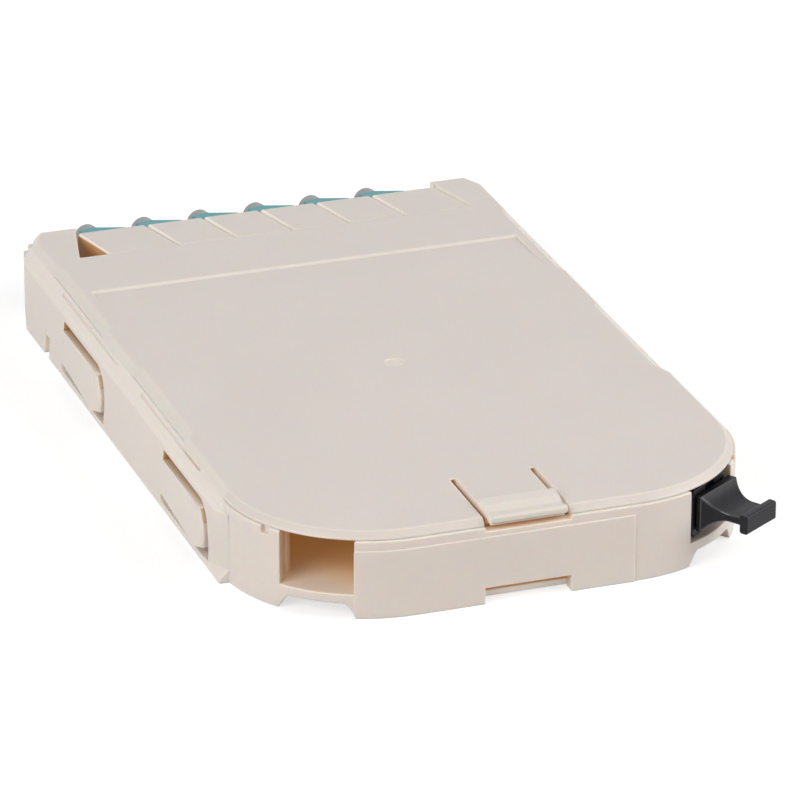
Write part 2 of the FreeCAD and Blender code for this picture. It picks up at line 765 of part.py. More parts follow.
def make_cover():
    """Top plate with fingers, sunk panel, snap bands and the rear latch."""
    low = PART_Z - 1
    high = BODY_H + 2
    cuts = finger_cuts(low, high)
    # Sunk panel: a step that faces the rear and fades out.
    y0 = FRONT + LABEL_BACK
    y1 = y0 + LABEL_L
    panel = [(y0, BODY_H - LABEL_D), (y1, BODY_H), (y1, high), (y0, high)]
    cuts.append(side_prism(panel, -HALF + LABEL_IN, HALF - LABEL_IN))
    cuts.append(Part.makeCylinder(GATE_R, GATE_D + 1, V(0, -GATE_Y, BODY_H - GATE_D)))
    # Slits beside the latch tongue.
    cuts += both(slab(LATCH_W / 2, NOTCH_X, -LATCH_L, 1, low, high))
    cover = make_plate().cut(cuts)

    # Locating lips stand inside the side walls.
    lip_x = HALF - WALL - LIP_CLEAR
    joined = [make_pad()]
    for y0 in BANDS:
        lip = slab(lip_x - LIP_T, lip_x, y0, y0 + BAND_L, PART_Z - LIP_H, PART_Z + COVER_T / 2)
        joined += both(lip)
    # Ribs under the fingers keep the coupler flanges in line.
    rib_z = MID_Z + LC_H / 2 + FIT
    rib_y = LC_FLANGE_Y + LC_FLANGE_T + FIT
    for index in range(LANES):
        rib = slab(-LC_W / 2, LC_W / 2, rib_y, rib_y + WALL / 2, rib_z, PART_Z + COVER_T / 2)
        joined.append(in_lane(rib, index))
    joined.append(finger_rib())
    return cover.fuse(joined).removeSplitter()


def port_tunnel(y0, y1, z):
    """Square port with its latch key, open between two depths."""
    half = LC_PORT / 2
    key = LC_KEY_H / 2
    room = slab(LC_OFF - half, LC_OFF + half, y0, y1, z - half, z + half)
    slot = slab(LC_OFF - half - LC_KEY_W, LC_OFF, y0, y1, z - key, z + key)
    return room.fuse(slot)


def make_lc_adapter():
    """Duplex coupler on edge: two ports, mid wall, sleeve bosses and flange."""
    half = LC_W / 2
    plan = [
        (half, -LC_NOSE),
        (half, LC_TAIL),
        (-half, LC_TAIL),
        (-half, -LC_NOSE + LC_SLANT),
        (-half + LC_SLANT_W, -LC_NOSE),
    ]
    body = prism(plan, MID_Z - LC_H / 2, MID_Z + LC_H / 2)
    tail = []
    for edge in body.Edges:
        if edge.BoundBox.ZLength < 0.01 and edge.BoundBox.YMin > LC_TAIL - 0.01:
            tail.append(edge)
    body = body.makeChamfer(LC_TAIL_EDGE, tail)
    side = LC_FLANGE_W / 2
    rise = LC_FLANGE_H / 2
    flange = slab(-side, side, LC_FLANGE_Y, LC_FLANGE_Y + LC_FLANGE_T, MID_Z - rise, MID_Z + rise)
    cuts = []
    bosses = []
    bores = []
    half = SLEEVE_R + BOSS_T
    y0 = CORE_MID - SLEEVE_L / 2
    y1 = CORE_MID + SLEEVE_L / 2
    for z in PORT_LEVELS:
        cuts.append(port_tunnel(-LC_NOSE - 1, LC_CORE_Y, z))
        cuts.append(port_tunnel(LC_CORE_Y + LC_CORE, LC_TAIL + 1, z))
        bosses.append(slab(LC_OFF - half, LC_OFF + half, y0, y1, z - half, z + half))
        bores.append(rod(SLEEVE_R + SLEEVE_FIT, y0 - 1, y1 + 1, LC_OFF, z))
    return body.fuse(flange).cut(cuts).fuse(bosses).cut(bores).removeSplitter()


def make_sleeves(index):
    """Two alignment sleeves of a lane."""
    y0 = CORE_MID - SLEEVE_L / 2
    y1 = CORE_MID + SLEEVE_L / 2
    out = []
    for z in PORT_LEVELS:
        bore = rod(SLEEVE_R - SLEEVE_T, y0, y1, LC_OFF, z)
        out.append(in_lane(rod(SLEEVE_R, y0, y1, LC_OFF, z).cut(bore), index))
    return out


def cap_head(z):
    """Round grip of a dust cap with a bevelled dome."""
    y1 = -LC_NOSE - RUN
    y0 = y1 - CAP_L
    profile = [
        (CAP_R - CAP_DOME, y0),
        (CAP_R - CAP_EDGE, y0 + CAP_EDGE),
        (CAP_R, y0 + CAP_DOME),
        (CAP_R, y1),
    ]
    rings = [flats(r, V(LC_OFF, y, z), V(0, 1, 0), CAP_SIDES) for r, y in profile]
    return Part.makeLoft(rings, True, True)


def make_lc_cap():
    """Duplex dust cap: round grips, hollow shanks and a joining bar."""
    y0 = -LC_NOSE - RUN
    y1 = y0 + CAP_SHANK
    shank = LC_PORT / 2 - RUN
    hollow = shank - CAP_WALL
    bar_x = CAP_BAR_W / 2
    bar = slab(LC_OFF - bar_x, LC_OFF + bar_x, y0 - CAP_BAR_L, y0, PORT_LEVELS[0], PORT_LEVELS[1])
    joined = []
    pockets = []
    for z in PORT_LEVELS:
        stem = slab(LC_OFF - shank, LC_OFF + shank, y0 - CAP_WALL, y1, z - shank, z + shank)
        joined += [cap_head(z), stem]
        pockets.append(slab(LC_OFF - hollow, LC_OFF + hollow, y0, y1 + 1, z - hollow, z + hollow))
    return bar.fuse(joined).cut(pockets).removeSplitter()


def make_lc_plug():
    """Duplex plug pair on the inner side: bodies, ferrules, clip and stub."""
    y1 = PLUG_Y + PLUG_L
    half = LC_PORT / 2 - PLUG_CLEAR
    side = half + CLIP_SIDE
    clip = slab(LC_OFF - side, LC_OFF + side, y1 - CLIP_L, y1, PORT_LEVELS[0] - half, PORT_LEVELS[1] + half)
    joined = [spike(STUB_R + STUB_FLARE, STUB_R, y1, y1 + STUB_L, LC_OFF, MID_Z)]
    ferrule_r = SLEEVE_R - SLEEVE_T - FERRULE_FIT
    for z in PORT_LEVELS:
        joined.append(slab(LC_OFF - half, LC_OFF + half, PLUG_Y, y1, z - half, z + half))
        joined.append(rod(ferrule_r, PLUG_Y - FERRULE_L, PLUG_Y + 1, LC_OFF, z))
    return clip.fuse(joined).removeSplitter()


def make_mpo_adapter():
    """Trunk coupler: rectangular tube with a keyway and a flange."""
    flange_w = PORT_W / 2 + SLOT_D - FIT
    half_h = MPO_H / 2
    body = slab(-MPO_W / 2, MPO_W / 2, -MPO_IN, -MPO_OUT, PORT_Z - half_h, PORT_Z + half_h)
    corner = [e for e in body.Edges if e.BoundBox.YLength > MPO_IN - MPO_OUT - 0.01]
    body = body.makeChamfer(MPO_EDGE, corner)
    back = -SLOT_Y - MPO_FLANGE_T - FIT
    flange = slab(-flange_w, flange_w, back, back + MPO_FLANGE_T, FLOOR_Z, PART_Z - FIT)
    half_w = MPO_BORE_W / 2
    half_h = MPO_BORE_H / 2
    bore = slab(-half_w, half_w, -MPO_IN - 1, 1, PORT_Z - half_h, PORT_Z + half_h)
    key = slab(-MPO_KEY_W / 2, MPO_KEY_W / 2, -MPO_IN - 1, 1, PORT_Z, PORT_Z + half_h + MPO_KEY_H)
    return body.fuse(flange).cut([bore, key]).removeSplitter()


def hollowed(block, neck, heel, reach):
    """Face in X and Y, hollowed on both flanks from a block to a neck."""

    def flank(sign):
        at = PULL_HOLLOW_L * PULL_HOLLOW_AT
        mid = neck + (block - neck) * PULL_HOLLOW_SAG
        return V(sign * block, 0, 0), V(sign * mid, at, 0), V(sign * neck, PULL_HOLLOW_L, 0)

    left = flank(-1)
    right = flank(1)
    tip_left = V(-neck, reach, 0)
    tip_right = V(neck, reach, 0)
    heel_left = V(-block, -heel, 0)
    heel_right = V(block, -heel, 0)
    edges = [
        Part.makeLine(heel_left, heel_right),
        Part.makeLine(heel_right, right[0]),
        Part.Arc(*right).toShape(),
        Part.makeLine(right[2], tip_right),
        Part.makeLine(tip_right, tip_left),
        Part.makeLine(tip_left, left[2]),
        Part.Arc(left[2], left[1], left[0]).toShape(),
        Part.makeLine(left[0], heel_left),
    ]
    return Part.Face(Part.Wire(edges))


def make_mpo_cap():
    """Pull cap: plug, collar, grip hollowed on four sides and a cross bar."""
    front = -MPO_OUT + RUN
    plug_w = MPO_BORE_W / 2 - RUN
    plug_h = MPO_BORE_H / 2 - RUN
    plug = slab(-plug_w, plug_w, -MPO_OUT - PULL_PLUG, front + RUN, PORT_Z - plug_h, PORT_Z + plug_h)
    half_w = PULL_W / 2
    half_h = PULL_H / 2
    skew = half_w * math.tan(math.radians(PULL_TURN))
    left = -half_w - PULL_SHIFT
    right = half_w - PULL_SHIFT
    foot = [(left, front), (right, front), (right, PULL_COLLAR - skew), (left, PULL_COLLAR + skew)]
    collar = prism(foot, PORT_Z - half_h, PORT_Z + half_h)
    heel = PULL_BLOCK - PULL_COLLAR * 0.9
    reach = PULL_BAR_Y + RUN
    plan = hollowed(half_w, PULL_NECK_W / 2, heel, reach).extrude(V(0, 0, PULL_H))
    plan.translate(V(0, 0, -half_h))
    side = hollowed(half_h, PULL_NECK_T / 2, heel, reach).extrude(V(0, 0, PULL_W))
    side.translate(V(0, 0, -half_w))
    side.rotate(V(0, 0, 0), V(0, 1, 0), 90)
    bar_w = PULL_BAR_W / 2
    bar_h = PULL_BAR_H / 2
    bar = slab(-bar_w, bar_w, PULL_BAR_Y, PULL_BAR_Y + PULL_BAR_T, -bar_h, bar_h)
    long_edges = [e for e in bar.Edges if e.BoundBox.XLength > PULL_BAR_W - 0.01]
    grip = plan.common(side).fuse(bar.makeFillet(PULL_BAR_EDGE, long_edges))
    grip.rotate(V(0, 0, 0), UP, -PULL_TURN)
    grip.translate(V(-PULL_SHIFT, PULL_BLOCK, PORT_Z))
    return plug.fuse([collar, grip]).removeSplitter()


def make_trunk_plug():
    """Trunk plug: nose in the coupler and its pull shell."""
    half_w = MPO_BORE_W / 2 - MPO_FIT
    half_h = MPO_BORE_H / 2 - MPO_FIT
    nose = slab(-half_w, half_w, BOOT_Y, -TRUNK_PLUG_FRONT, PORT_Z - half_h, PORT_Z + half_h)
    half_w = TRUNK_SHELL_W / 2
    half_h = TRUNK_SHELL_H / 2
    shell = slab(-half_w, half_w, BOOT_Y, BOOT_Y + TRUNK_SHELL_L, PORT_Z - half_h, PORT_Z + half_h)
    long_edges = [e for e in shell.Edges if e.BoundBox.YLength > TRUNK_SHELL_L - 0.01]
    return nose.fuse(shell.makeChamfer(TRUNK_SHELL_EDGE, long_edges)).removeSplitter()


def make_cords():
    """Trunk lead, fan-out block and the duplex leads to the plug stubs."""
    start = port_point(-1, BOOT_Y - BOOT_L)
    turn = port_point(-1, BOOT_Y - BOOT_L - TRUNK_RUN)
    end = turn + V(0, -TRUNK_DOWN, 0)
    trunk = routed_cord([start, turn, end], TRUNK_R, TRUNK_BEND)
    half = LEAD_PITCH * (LANES - 1) / 2 + FAN_EDGE
    fan = slab(end.x - half, end.x + half, end.y - FAN_L, end.y, FLOOR_Z, PORT_Z + FAN_TOP)
    fan = fan.makeChamfer(FAN_R, [e for e in fan.Edges if e.BoundBox.ZLength > FAN_TOP])
    leads = []
    stub_end = PLUG_Y + PLUG_L + STUB_L
    for index in range(LANES):
        across = LEAD_PITCH * ((LANES - 1) / 2 - index)
        a = V(end.x + across, end.y - FAN_L, MID_Z)
        b = a + V(0, -LEAD_RUN, 0)
        c = lane_point(index, LC_OFF, -stub_end - LEAD_RUN)
        d = lane_point(index, LC_OFF, -stub_end)
        leads.append(routed_cord([a, b, c, d], LEAD_R, LEAD_BEND))
    return trunk, fan, Part.makeCompound(leads)


def make_all():
    """Every piece by name."""
    pieces = {"base_tray": make_base(), "top_cover": make_cover()}
    adapter = make_lc_adapter()
    cap = make_lc_cap()
    plug = make_lc_plug()
    sleeves = []
    for index in range(LANES):
        number = index + 1
        pieces["lc_adapter_%d" % number] = in_lane(adapter, index)
        pieces["lc_dust_cap_%d" % number] = in_lane(cap, index)
        pieces["lc_plug_pair_%d" % number] = in_lane(plug, index)
        sleeves += make_sleeves(index)
    pieces["alignment_sleeves"] = Part.makeCompound(sleeves)
    pieces["mpo_adapter"] = in_port(make_mpo_adapter(), -1)
    pieces["mpo_dust_cap"] = in_port(make_mpo_cap(), -1)
    pieces["trunk_plug"] = in_port(make_trunk_plug(), -1)
    pieces["trunk_boot"] = in_port(spike(BOOT_R1, BOOT_R0, BOOT_Y - BOOT_L, BOOT_Y, 0, PORT_Z), -1)
    trunk, fan, leads = make_cords()
    pieces["trunk_lead"] = trunk
    pieces["fanout_block"] = fan
    pieces["fibre_leads"] = leads
    return pieces


parts = make_all()
whole = Part.makeCompound(list(parts.values())).BoundBox
centre = V(0, -(whole.YMin + whole.YMax) / 2, 0)
os.makedirs("parts", exist_ok=True)
for name, shape in parts.items():
    shape.translate(centre)
    shape.exportStep("parts/%s.step" % name)
    print(name, "solids", len(shape.Solids), "valid", shape.isValid(), "mm3", round(shape.Volume, 2))
print("rear wall at Y", round(centre.y, 4), "port at", round(PORT_X, 3), round(PORT_Y, 3))
print("size", round(whole.XLength, 2), round(whole.YLength, 2), round(whole.ZLength, 2))
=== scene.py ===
# %% [markdown]
# # A fibre cassette, dressed around its CAD frame
#
# The object is a flat ivory box that joins fibre leads: six aqua couplers with
# grey caps along the front, two trunk ports in the round rear corners, one of
# them filled with a black coupler and its pull cap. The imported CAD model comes
# in first as a fixed frame, and every piece below is placed by it.

import json
import math

import bmesh
import bpy
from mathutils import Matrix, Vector
from mathutils.bvhtree import BVHTree
from mathutils.geometry import area_tri, intersect_point_line, tessellate_polygon


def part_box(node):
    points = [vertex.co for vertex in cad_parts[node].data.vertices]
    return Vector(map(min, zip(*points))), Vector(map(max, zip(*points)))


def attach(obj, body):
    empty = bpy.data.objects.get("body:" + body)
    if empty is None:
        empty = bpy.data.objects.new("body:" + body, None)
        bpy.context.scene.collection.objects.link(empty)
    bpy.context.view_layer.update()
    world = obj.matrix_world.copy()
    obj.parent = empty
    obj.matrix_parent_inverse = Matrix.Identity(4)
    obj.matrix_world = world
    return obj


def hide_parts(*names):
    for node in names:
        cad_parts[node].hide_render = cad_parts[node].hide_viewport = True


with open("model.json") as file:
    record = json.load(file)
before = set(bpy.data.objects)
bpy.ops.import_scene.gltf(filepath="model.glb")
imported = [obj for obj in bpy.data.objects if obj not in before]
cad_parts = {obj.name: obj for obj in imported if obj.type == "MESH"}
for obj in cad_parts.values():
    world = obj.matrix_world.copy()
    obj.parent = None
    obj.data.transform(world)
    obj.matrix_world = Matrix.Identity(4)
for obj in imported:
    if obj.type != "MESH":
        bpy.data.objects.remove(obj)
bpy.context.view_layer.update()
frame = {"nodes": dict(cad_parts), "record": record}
MM = 0.001

# %% [markdown]
# ## Camera
#
# The photograph was taken from far away with a long lens, from behind and
# above. A long lens keeps parallel edges nearly parallel, so the camera stands
# more than a metre off. Its aim is given from the rear wall of the tray, since
# that wall was the reference when the view was worked out.

# %% Camera at the photograph's angle
AZIMUTH = math.radians(160.57)
ELEVATION = math.radians(23.722)
DISTANCE = 1.23836
LENS = 269.23                   # in millimetres, as the sensor
SENSOR = 36.0
SHIFT = (0.0025, -0.0020)
FIELD_RAISE = 0.25 * MM         # raised field on the rear wall
AIM_X = -8.04 * MM
AIM_BACK = 98.19 * MM           # from the rear wall forwards
rear_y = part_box("base_tray")[1][1] - FIELD_RAISE
aim = Vector((AIM_X, rear_y - AIM_BACK, 0.0))
back = Vector((
    math.sin(AZIMUTH) * math.cos(ELEVATION),
    -math.cos(AZIMUTH) * math.cos(ELEVATION),
    math.sin(ELEVATION),
))

eye = bpy.data.cameras.new("eye")
eye.lens = LENS
eye.sensor_width = SENSOR
eye.shift_x, eye.shift_y = SHIFT
eye.clip_end = 20.0
camera = bpy.data.objects.new("eye", eye)
camera.location = aim + back * DISTANCE
camera.rotation_euler = back.to_track_quat("Z", "Y").to_euler()
bpy.context.collection.objects.link(camera)
bpy.context.scene.camera = camera
print("camera stands at", [round(v, 4) for v in camera.location])

# %% [markdown]
# ## Light and floor
#
# Product shots like this one use a white sweep and large soft lamps. The world
# gives even white light at a plain level. Rays that only show the background,
# straight or in a mirror, see it as full white, so the background is white
# without more light on the object.

# %% White world
scene = bpy.context.scene
scene.view_settings.view_transform = "Standard"
WORLD_LIGHT = 0.40
WORLD_TINT = (0.97, 0.98, 1.0, 1.0)
WHITE = (1.0, 1.0, 1.0, 1.0)


def lit_by_camera(nodes):
    """One for rays that show the background: seen, mirrored or through glass."""
    path = nodes.new("ShaderNodeLightPath")
    seen = nodes.new("ShaderNodeMath")
    seen.operation = "MAXIMUM"
    links = seen.id_data.links
    links.new(path.outputs["Is Camera Ray"], seen.inputs[0])
    links.new(path.outputs["Is Glossy Ray"], seen.inputs[1])
    through = nodes.new("ShaderNodeMath")
    through.operation = "MAXIMUM"
    links.new(seen.outputs[0], through.inputs[0])
    links.new(path.outputs["Is Transmission Ray"], through.inputs[1])
    return through.outputs[0]


world = bpy.data.worlds.new("studio")
scene.world = world
world.use_nodes = True
tree = world.node_tree
tree.nodes.clear()
soft = tree.nodes.new("ShaderNodeBackground")
soft.inputs["Color"].default_value = WORLD_TINT
soft.inputs["Strength"].default_value = WORLD_LIGHT
white = tree.nodes.new("ShaderNodeBackground")
white.inputs["Color"].default_value = WHITE
white.inputs["Strength"].default_value = 1.0
choose = tree.nodes.new("ShaderNodeMixShader")
out = tree.nodes.new("ShaderNodeOutputWorld")
tree.links.new(lit_by_camera(tree.nodes), choose.inputs["Fac"])
tree.links.new(soft.outputs[0], choose.inputs[1])
tree.links.new(white.outputs[0], choose.inputs[2])
tree.links.new(choose.outputs[0], out.inputs["Surface"])
print("world light:", WORLD_LIGHT)

# %% [markdown]
# Two big square lamps stand left and right of the part. The key stands on the
# side of the empty port and is a little warmer, so that wall is the brightest.

# %% Lamps
LAMP_SIZE = 0.9


def add_lamp(name, place, watts, colour):
    """Square soft lamp that looks at the middle of the part."""
    lamp = bpy.data.lights.new(name, "AREA")
    lamp.size = LAMP_SIZE
    lamp.energy = watts
    lamp.color = colour
    body = bpy.data.objects.new(name, lamp)
    body.location = Vector(place)
    body.rotation_euler = Vector(place).to_track_quat("Z", "Y").to_euler()
    bpy.context.collection.objects.link(body)
    print(name, "lamp:", watts, "W")


add_lamp("key", (1.10, 0.54, 0.68), 10.9, (1.0, 0.98, 0.95))
add_lamp("fill", (-1.12, 0.50, 0.60), 11.2, (1.0, 0.99, 0.97))

# %% [markdown]
# The floor is a large sheet of white paper with only a faint shadow. A plain
# white sheet would render grey, so for camera rays it adds a little light of its
# own and meets the white background.

# %% Floor
FLOOR_SIZE = 6.0
PAPER = (0.55, 0.55, 0.55, 1.0)
PAPER_GLOW = 0.62
sheet = bmesh.new()
bmesh.ops.create_grid(sheet, x_segments=1, y_segments=1, size=FLOOR_SIZE / 2)
floor_mesh = bpy.data.meshes.new("floor")
sheet.to_mesh(floor_mesh)
sheet.free()
floor = bpy.data.objects.new("floor", floor_mesh)
bpy.context.collection.objects.link(floor)

paper = bpy.data.materials.new("white_paper")
paper.use_nodes = True
tree = paper.node_tree
tree.nodes.clear()
matt = tree.nodes.new("ShaderNodeBsdfDiffuse")
matt.inputs["Color"].default_value = PAPER
glow = tree.nodes.new("ShaderNodeEmission")
glow.inputs["Color"].default_value = WHITE
level = tree.nodes.new("ShaderNodeMath")
level.operation = "MULTIPLY"
level.inputs[1].default_value = PAPER_GLOW
both = tree.nodes.new("ShaderNodeAddShader")
out = tree.nodes.new("ShaderNodeOutputMaterial")
tree.links.new(lit_by_camera(tree.nodes), level.inputs[0])
tree.links.new(level.outputs[0], glow.inputs["Strength"])
tree.links.new(matt.outputs[0], both.inputs[0])
tree.links.new(glow.outputs[0], both.inputs[1])
tree.links.new(both.outputs[0], out.inputs["Surface"])
floor_mesh.materials.append(paper)
print("floor:", FLOOR_SIZE, "m wide")

# %% [markdown]
# ## Moulded plastic
#
# All the rigid pieces are moulded plastics, so one recipe makes them: a base
# colour with a slow cloudy change, a roughness with the same, and a fine bump
# like the spark-eroded skin of a mould. The ivory resin also lets light
# through, so it gets subsurface scattering about a millimetre deep.

# %% Recipe for the plastics
CLOUD_SCALE = 45.0              # slow change of tone
TONE_SPREAD = 0.03
ROUGH_SPREAD = 0.05
PIT_SCALE = 2600.0              # grain of the mould's skin
PIT_DEPTH = 0.05 * MM
RESIN_RADIUS = (1.0, 0.70, 0.45)    # red light goes furthest


def plastic(name, colour, roughness, grain, depth=0.0, gloss=0.5):
    """Moulded plastic: cloudy colour, fine grain and light inside."""
    material = bpy.data.materials.new(name)
    material.use_nodes = True
    tree = material.node_tree
    shader = tree.nodes["Principled BSDF"]
    where = tree.nodes.new("ShaderNodeTexCoord")

    cloud = tree.nodes.new("ShaderNodeTexNoise")
    cloud.inputs["Scale"].default_value = CLOUD_SCALE
    cloud.inputs["Detail"].default_value = 3.0
    tree.links.new(where.outputs["Object"], cloud.inputs["Vector"])
    tone = tree.nodes.new("ShaderNodeMix")
    tone.data_type = "RGBA"
    tone.inputs["A"].default_value = (*[c * (1 - TONE_SPREAD) for c in colour], 1.0)
    tone.inputs["B"].default_value = (*[min(1.0, c * (1 + TONE_SPREAD)) for c in colour], 1.0)
    tree.links.new(cloud.outputs["Fac"], tone.inputs["Factor"])
    tree.links.new(tone.outputs["Result"], shader.inputs["Base Color"])

    rough = tree.nodes.new("ShaderNodeMapRange")
    rough.inputs["To Min"].default_value = roughness - ROUGH_SPREAD
    rough.inputs["To Max"].default_value = roughness + ROUGH_SPREAD
    tree.links.new(cloud.outputs["Fac"], rough.inputs["Value"])
    tree.links.new(rough.outputs["Result"], shader.inputs["Roughness"])

    pits = tree.nodes.new("ShaderNodeTexNoise")
    pits.inputs["Scale"].default_value = PIT_SCALE
    pits.inputs["Detail"].default_value = 2.0
    tree.links.new(where.outputs["Object"], pits.inputs["Vector"])
    bump = tree.nodes.new("ShaderNodeBump")
    bump.inputs["Strength"].default_value = grain
    bump.inputs["Distance"].default_value = PIT_DEPTH
    tree.links.new(pits.outputs["Fac"], bump.inputs["Height"])
    tree.links.new(bump.outputs["Normal"], shader.inputs["Normal"])

    shader.inputs["Specular IOR Level"].default_value = gloss
    if depth:
        shader.inputs["Subsurface Weight"].default_value = 1.0
        shader.inputs["Subsurface Radius"].default_value = RESIN_RADIUS
        shader.inputs["Subsurface Scale"].default_value = depth
    return material


RESIN_DEPTH = 1.0 * MM
finishes = {
    "ivory": plastic("ivory_resin", (0.81, 0.735, 0.675), 0.45, 0.25, RESIN_DEPTH),
    "ivory_cover": plastic("ivory_cover_resin", (0.74, 0.68, 0.63), 0.48, 0.3, RESIN_DEPTH),
    "aqua": plastic("aqua_resin", (0.08, 0.33, 0.35), 0.38, 0.15),
    "cap_grey": plastic("cap_grey_resin", (0.35, 0.35, 0.36), 0.5, 0.15),
    "black": plastic("black_resin", (0.008, 0.008, 0.011), 0.34, 0.2, gloss=0.22),
    "plug_beige": plastic("beige_resin", (0.62, 0.55, 0.45), 0.42, 0.15),
    "boot": plastic("boot_rubber", (0.02, 0.02, 0.022), 0.7, 0.35),
    "lead": plastic("lead_jacket", (0.10, 0.42, 0.44), 0.5, 0.1),
    "ceramic": plastic("ceramic_sleeve", (0.82, 0.82, 0.80), 0.15, 0.02),
}
slot_of = {row["node"]: row["material_slot"] for row in frame["record"]["subparts"]}
for node, shape in frame["nodes"].items():
    shape.data.materials.clear()
    shape.data.materials.append(finishes[slot_of[node]])
print("finishes:", ", ".join(finishes))

# %% [markdown]
# Thin moulded edges look paler than the faces, because light enters them from
# two sides, and the mould polishes them. So the two ivory resins and the black
# one get a glossier twin for rounded edges, whose paler colour is a painted
# highlight. The ivory twins scatter less light inside, because a thin rim would
# lose its red light and look green.

# %% Painted highlight of the rounded edges
EDGE_DEPTH = 0.2 * MM
edge_highlights = {
    "ivory": plastic("ivory_highlight_edge", (0.85, 0.78, 0.715), 0.36, 0.1, EDGE_DEPTH),
    "ivory_cover": plastic("ivory_cover_highlight_edge", (0.785, 0.73, 0.67), 0.36, 0.1, EDGE_DEPTH),
    "black": plastic("black_glint_edge", (0.022, 0.022, 0.026), 0.22, 0.05, gloss=0.6),
}
print("edge finishes:", ", ".join(edge_highlights))

# %% [markdown]
# Inside the box and in its slits the light has passed through the resin or has
# bounced many times, and it turns orange. That shade is painted into the colour
# of a finish for those inner faces, which starts from the plastic recipe. An
# Ambient Occlusion node measures how closed in a point is, and turns the colour
# from ivory to deep orange as painted shade, which looks the same from any side.
# Faces that look up get more painted light. A little emission is a painted glow
# that stands for the light that comes through the wall.

# %% Recipe for the painted shade
INNER_ROUGH = 0.45
INNER_GRAIN = 0.25
LIGHT_BELOW = 0.6               # light on faces that look down
LIGHT_ABOVE = 1.5               # and on those that look up
RAMP_END = 0.6                  # both as shares of the level called edge
FADE_FROM = 0.5


def shaded_plastic(name, colour, reach, edge, through, deep, pale, glow=0.0):
    """Ivory with painted shade, pale to deep orange where little light gets in, and a painted
    glow.
    """
    material = plastic(name, colour, INNER_ROUGH, INNER_GRAIN)
    tree = material.node_tree
    shader = tree.nodes["Principled BSDF"]
    skin = shader.inputs["Base Color"].links[0].from_socket
    gap = tree.nodes.new("ShaderNodeAmbientOcclusion")
    gap.inputs["Distance"].default_value = reach
    facing = tree.nodes.new("ShaderNodeNewGeometry")
    parts = tree.nodes.new("ShaderNodeSeparateXYZ")
    tree.links.new(facing.outputs["Normal"], parts.inputs["Vector"])
    upward = tree.nodes.new("ShaderNodeMapRange")
    upward.inputs["From Min"].default_value = -1.0
    upward.inputs["To Min"].default_value = LIGHT_BELOW
    upward.inputs["To Max"].default_value = LIGHT_ABOVE
    tree.links.new(parts.outputs["Z"], upward.inputs["Value"])
    light = tree.nodes.new("ShaderNodeMath")
    light.operation = "MULTIPLY"
    tree.links.new(gap.outputs["AO"], light.inputs[0])
    tree.links.new(upward.outputs["Result"], light.inputs[1])
    level = light.outputs[0]

    ramp = tree.nodes.new("ShaderNodeValToRGB")
    ramp.color_ramp.elements[0].color = (*deep, 1.0)
    ramp.color_ramp.elements[1].color = (*pale, 1.0)
    ramp.color_ramp.elements[1].position = edge * RAMP_END
    tree.links.new(level, ramp.inputs["Fac"])
    fade = tree.nodes.new("ShaderNodeMapRange")
    fade.inputs["From Min"].default_value = edge * FADE_FROM
    fade.inputs["From Max"].default_value = edge
    tree.links.new(level, fade.inputs["Value"])
    tint = tree.nodes.new("ShaderNodeMix")
    tint.data_type = "RGBA"
    tree.links.new(fade.outputs["Result"], tint.inputs["Factor"])
    tree.links.new(ramp.outputs["Color"], tint.inputs["A"])
    tree.links.new(skin, tint.inputs["B"])
    tree.links.new(tint.outputs["Result"], shader.inputs["Base Color"])

    passed = tree.nodes.new("ShaderNodeMapRange")
    passed.inputs["From Max"].default_value = edge
    passed.inputs["To Min"].default_value = through
    passed.inputs["To Max"].default_value = 0.0
    tree.links.new(level, passed.inputs["Value"])
    floor_part = tree.nodes.new("ShaderNodeMath")
    floor_part.operation = "MULTIPLY_ADD"
    floor_part.use_clamp = True
    floor_part.inputs[1].default_value = glow
    tree.links.new(parts.outputs["Z"], floor_part.inputs[0])
    tree.links.new(passed.outputs["Result"], floor_part.inputs[2])
    tree.links.new(floor_part.outputs[0], shader.inputs["Emission Strength"])
    tree.links.new(ramp.outputs["Color"], shader.inputs["Emission Color"])
    return material


# %% [markdown]
# The room behind the ports is wide, so its painted shade looks far around. The
# slits of the spring tongues are narrow and need a short look and a darker brown
# painted shade. The slits of the fingers face the key lamp and are almost white,
# so they get a pale painted highlight that glows a little instead.

# %% Painted shade and painted glow finishes
INSIDE = (0.84, 0.74, 0.62)
SHADE_DEEP = (0.82, 0.41, 0.05)
SHADE_PALE = (0.90, 0.72, 0.53)
COVER_SHADE_DEEP = (0.48, 0.21, 0.05)
COVER_SHADE_PALE = (0.60, 0.32, 0.12)
SLIT_SHADE_DEEP = (0.30, 0.11, 0.006)
SLIT_SHADE_PALE = (0.60, 0.34, 0.12)
ROOM_REACH = 40 * MM
SLIT_REACH = 5 * MM
painted_shade_finishes = {
    "ivory": shaded_plastic("ivory_painted_shade", INSIDE, ROOM_REACH, 0.52, 0.055, SHADE_DEEP, SHADE_PALE, 0.09),
    "ivory_cover": shaded_plastic(
        "ivory_cover_painted_shade", INSIDE, ROOM_REACH, 0.80, 0.02, COVER_SHADE_DEEP, COVER_SHADE_PALE
    ),
}
slit_painted_shade = shaded_plastic("ivory_shaded_slit", INSIDE, SLIT_REACH, 0.9, 0.02, SLIT_SHADE_DEEP, SLIT_SHADE_PALE)

# Painted highlight and painted glow for the lit slit walls and the catch bar: a paler colour and
# a little emission.
LIT = (0.86, 0.80, 0.73)
PAINTED_GLOW_COLOUR = (0.90, 0.83, 0.74, 1.0)
PAINTED_GLOW_LEVEL = 0.13
slit_glow = plastic("ivory_glowing_slit", LIT, 0.4, 0.1)
glowing = slit_glow.node_tree.nodes["Principled BSDF"]
glowing.inputs["Emission Color"].default_value = PAINTED_GLOW_COLOUR
glowing.inputs["Emission Strength"].default_value = PAINTED_GLOW_LEVEL
print("inner finishes:", ", ".join(painted_shade_finishes), "and two for the slits")

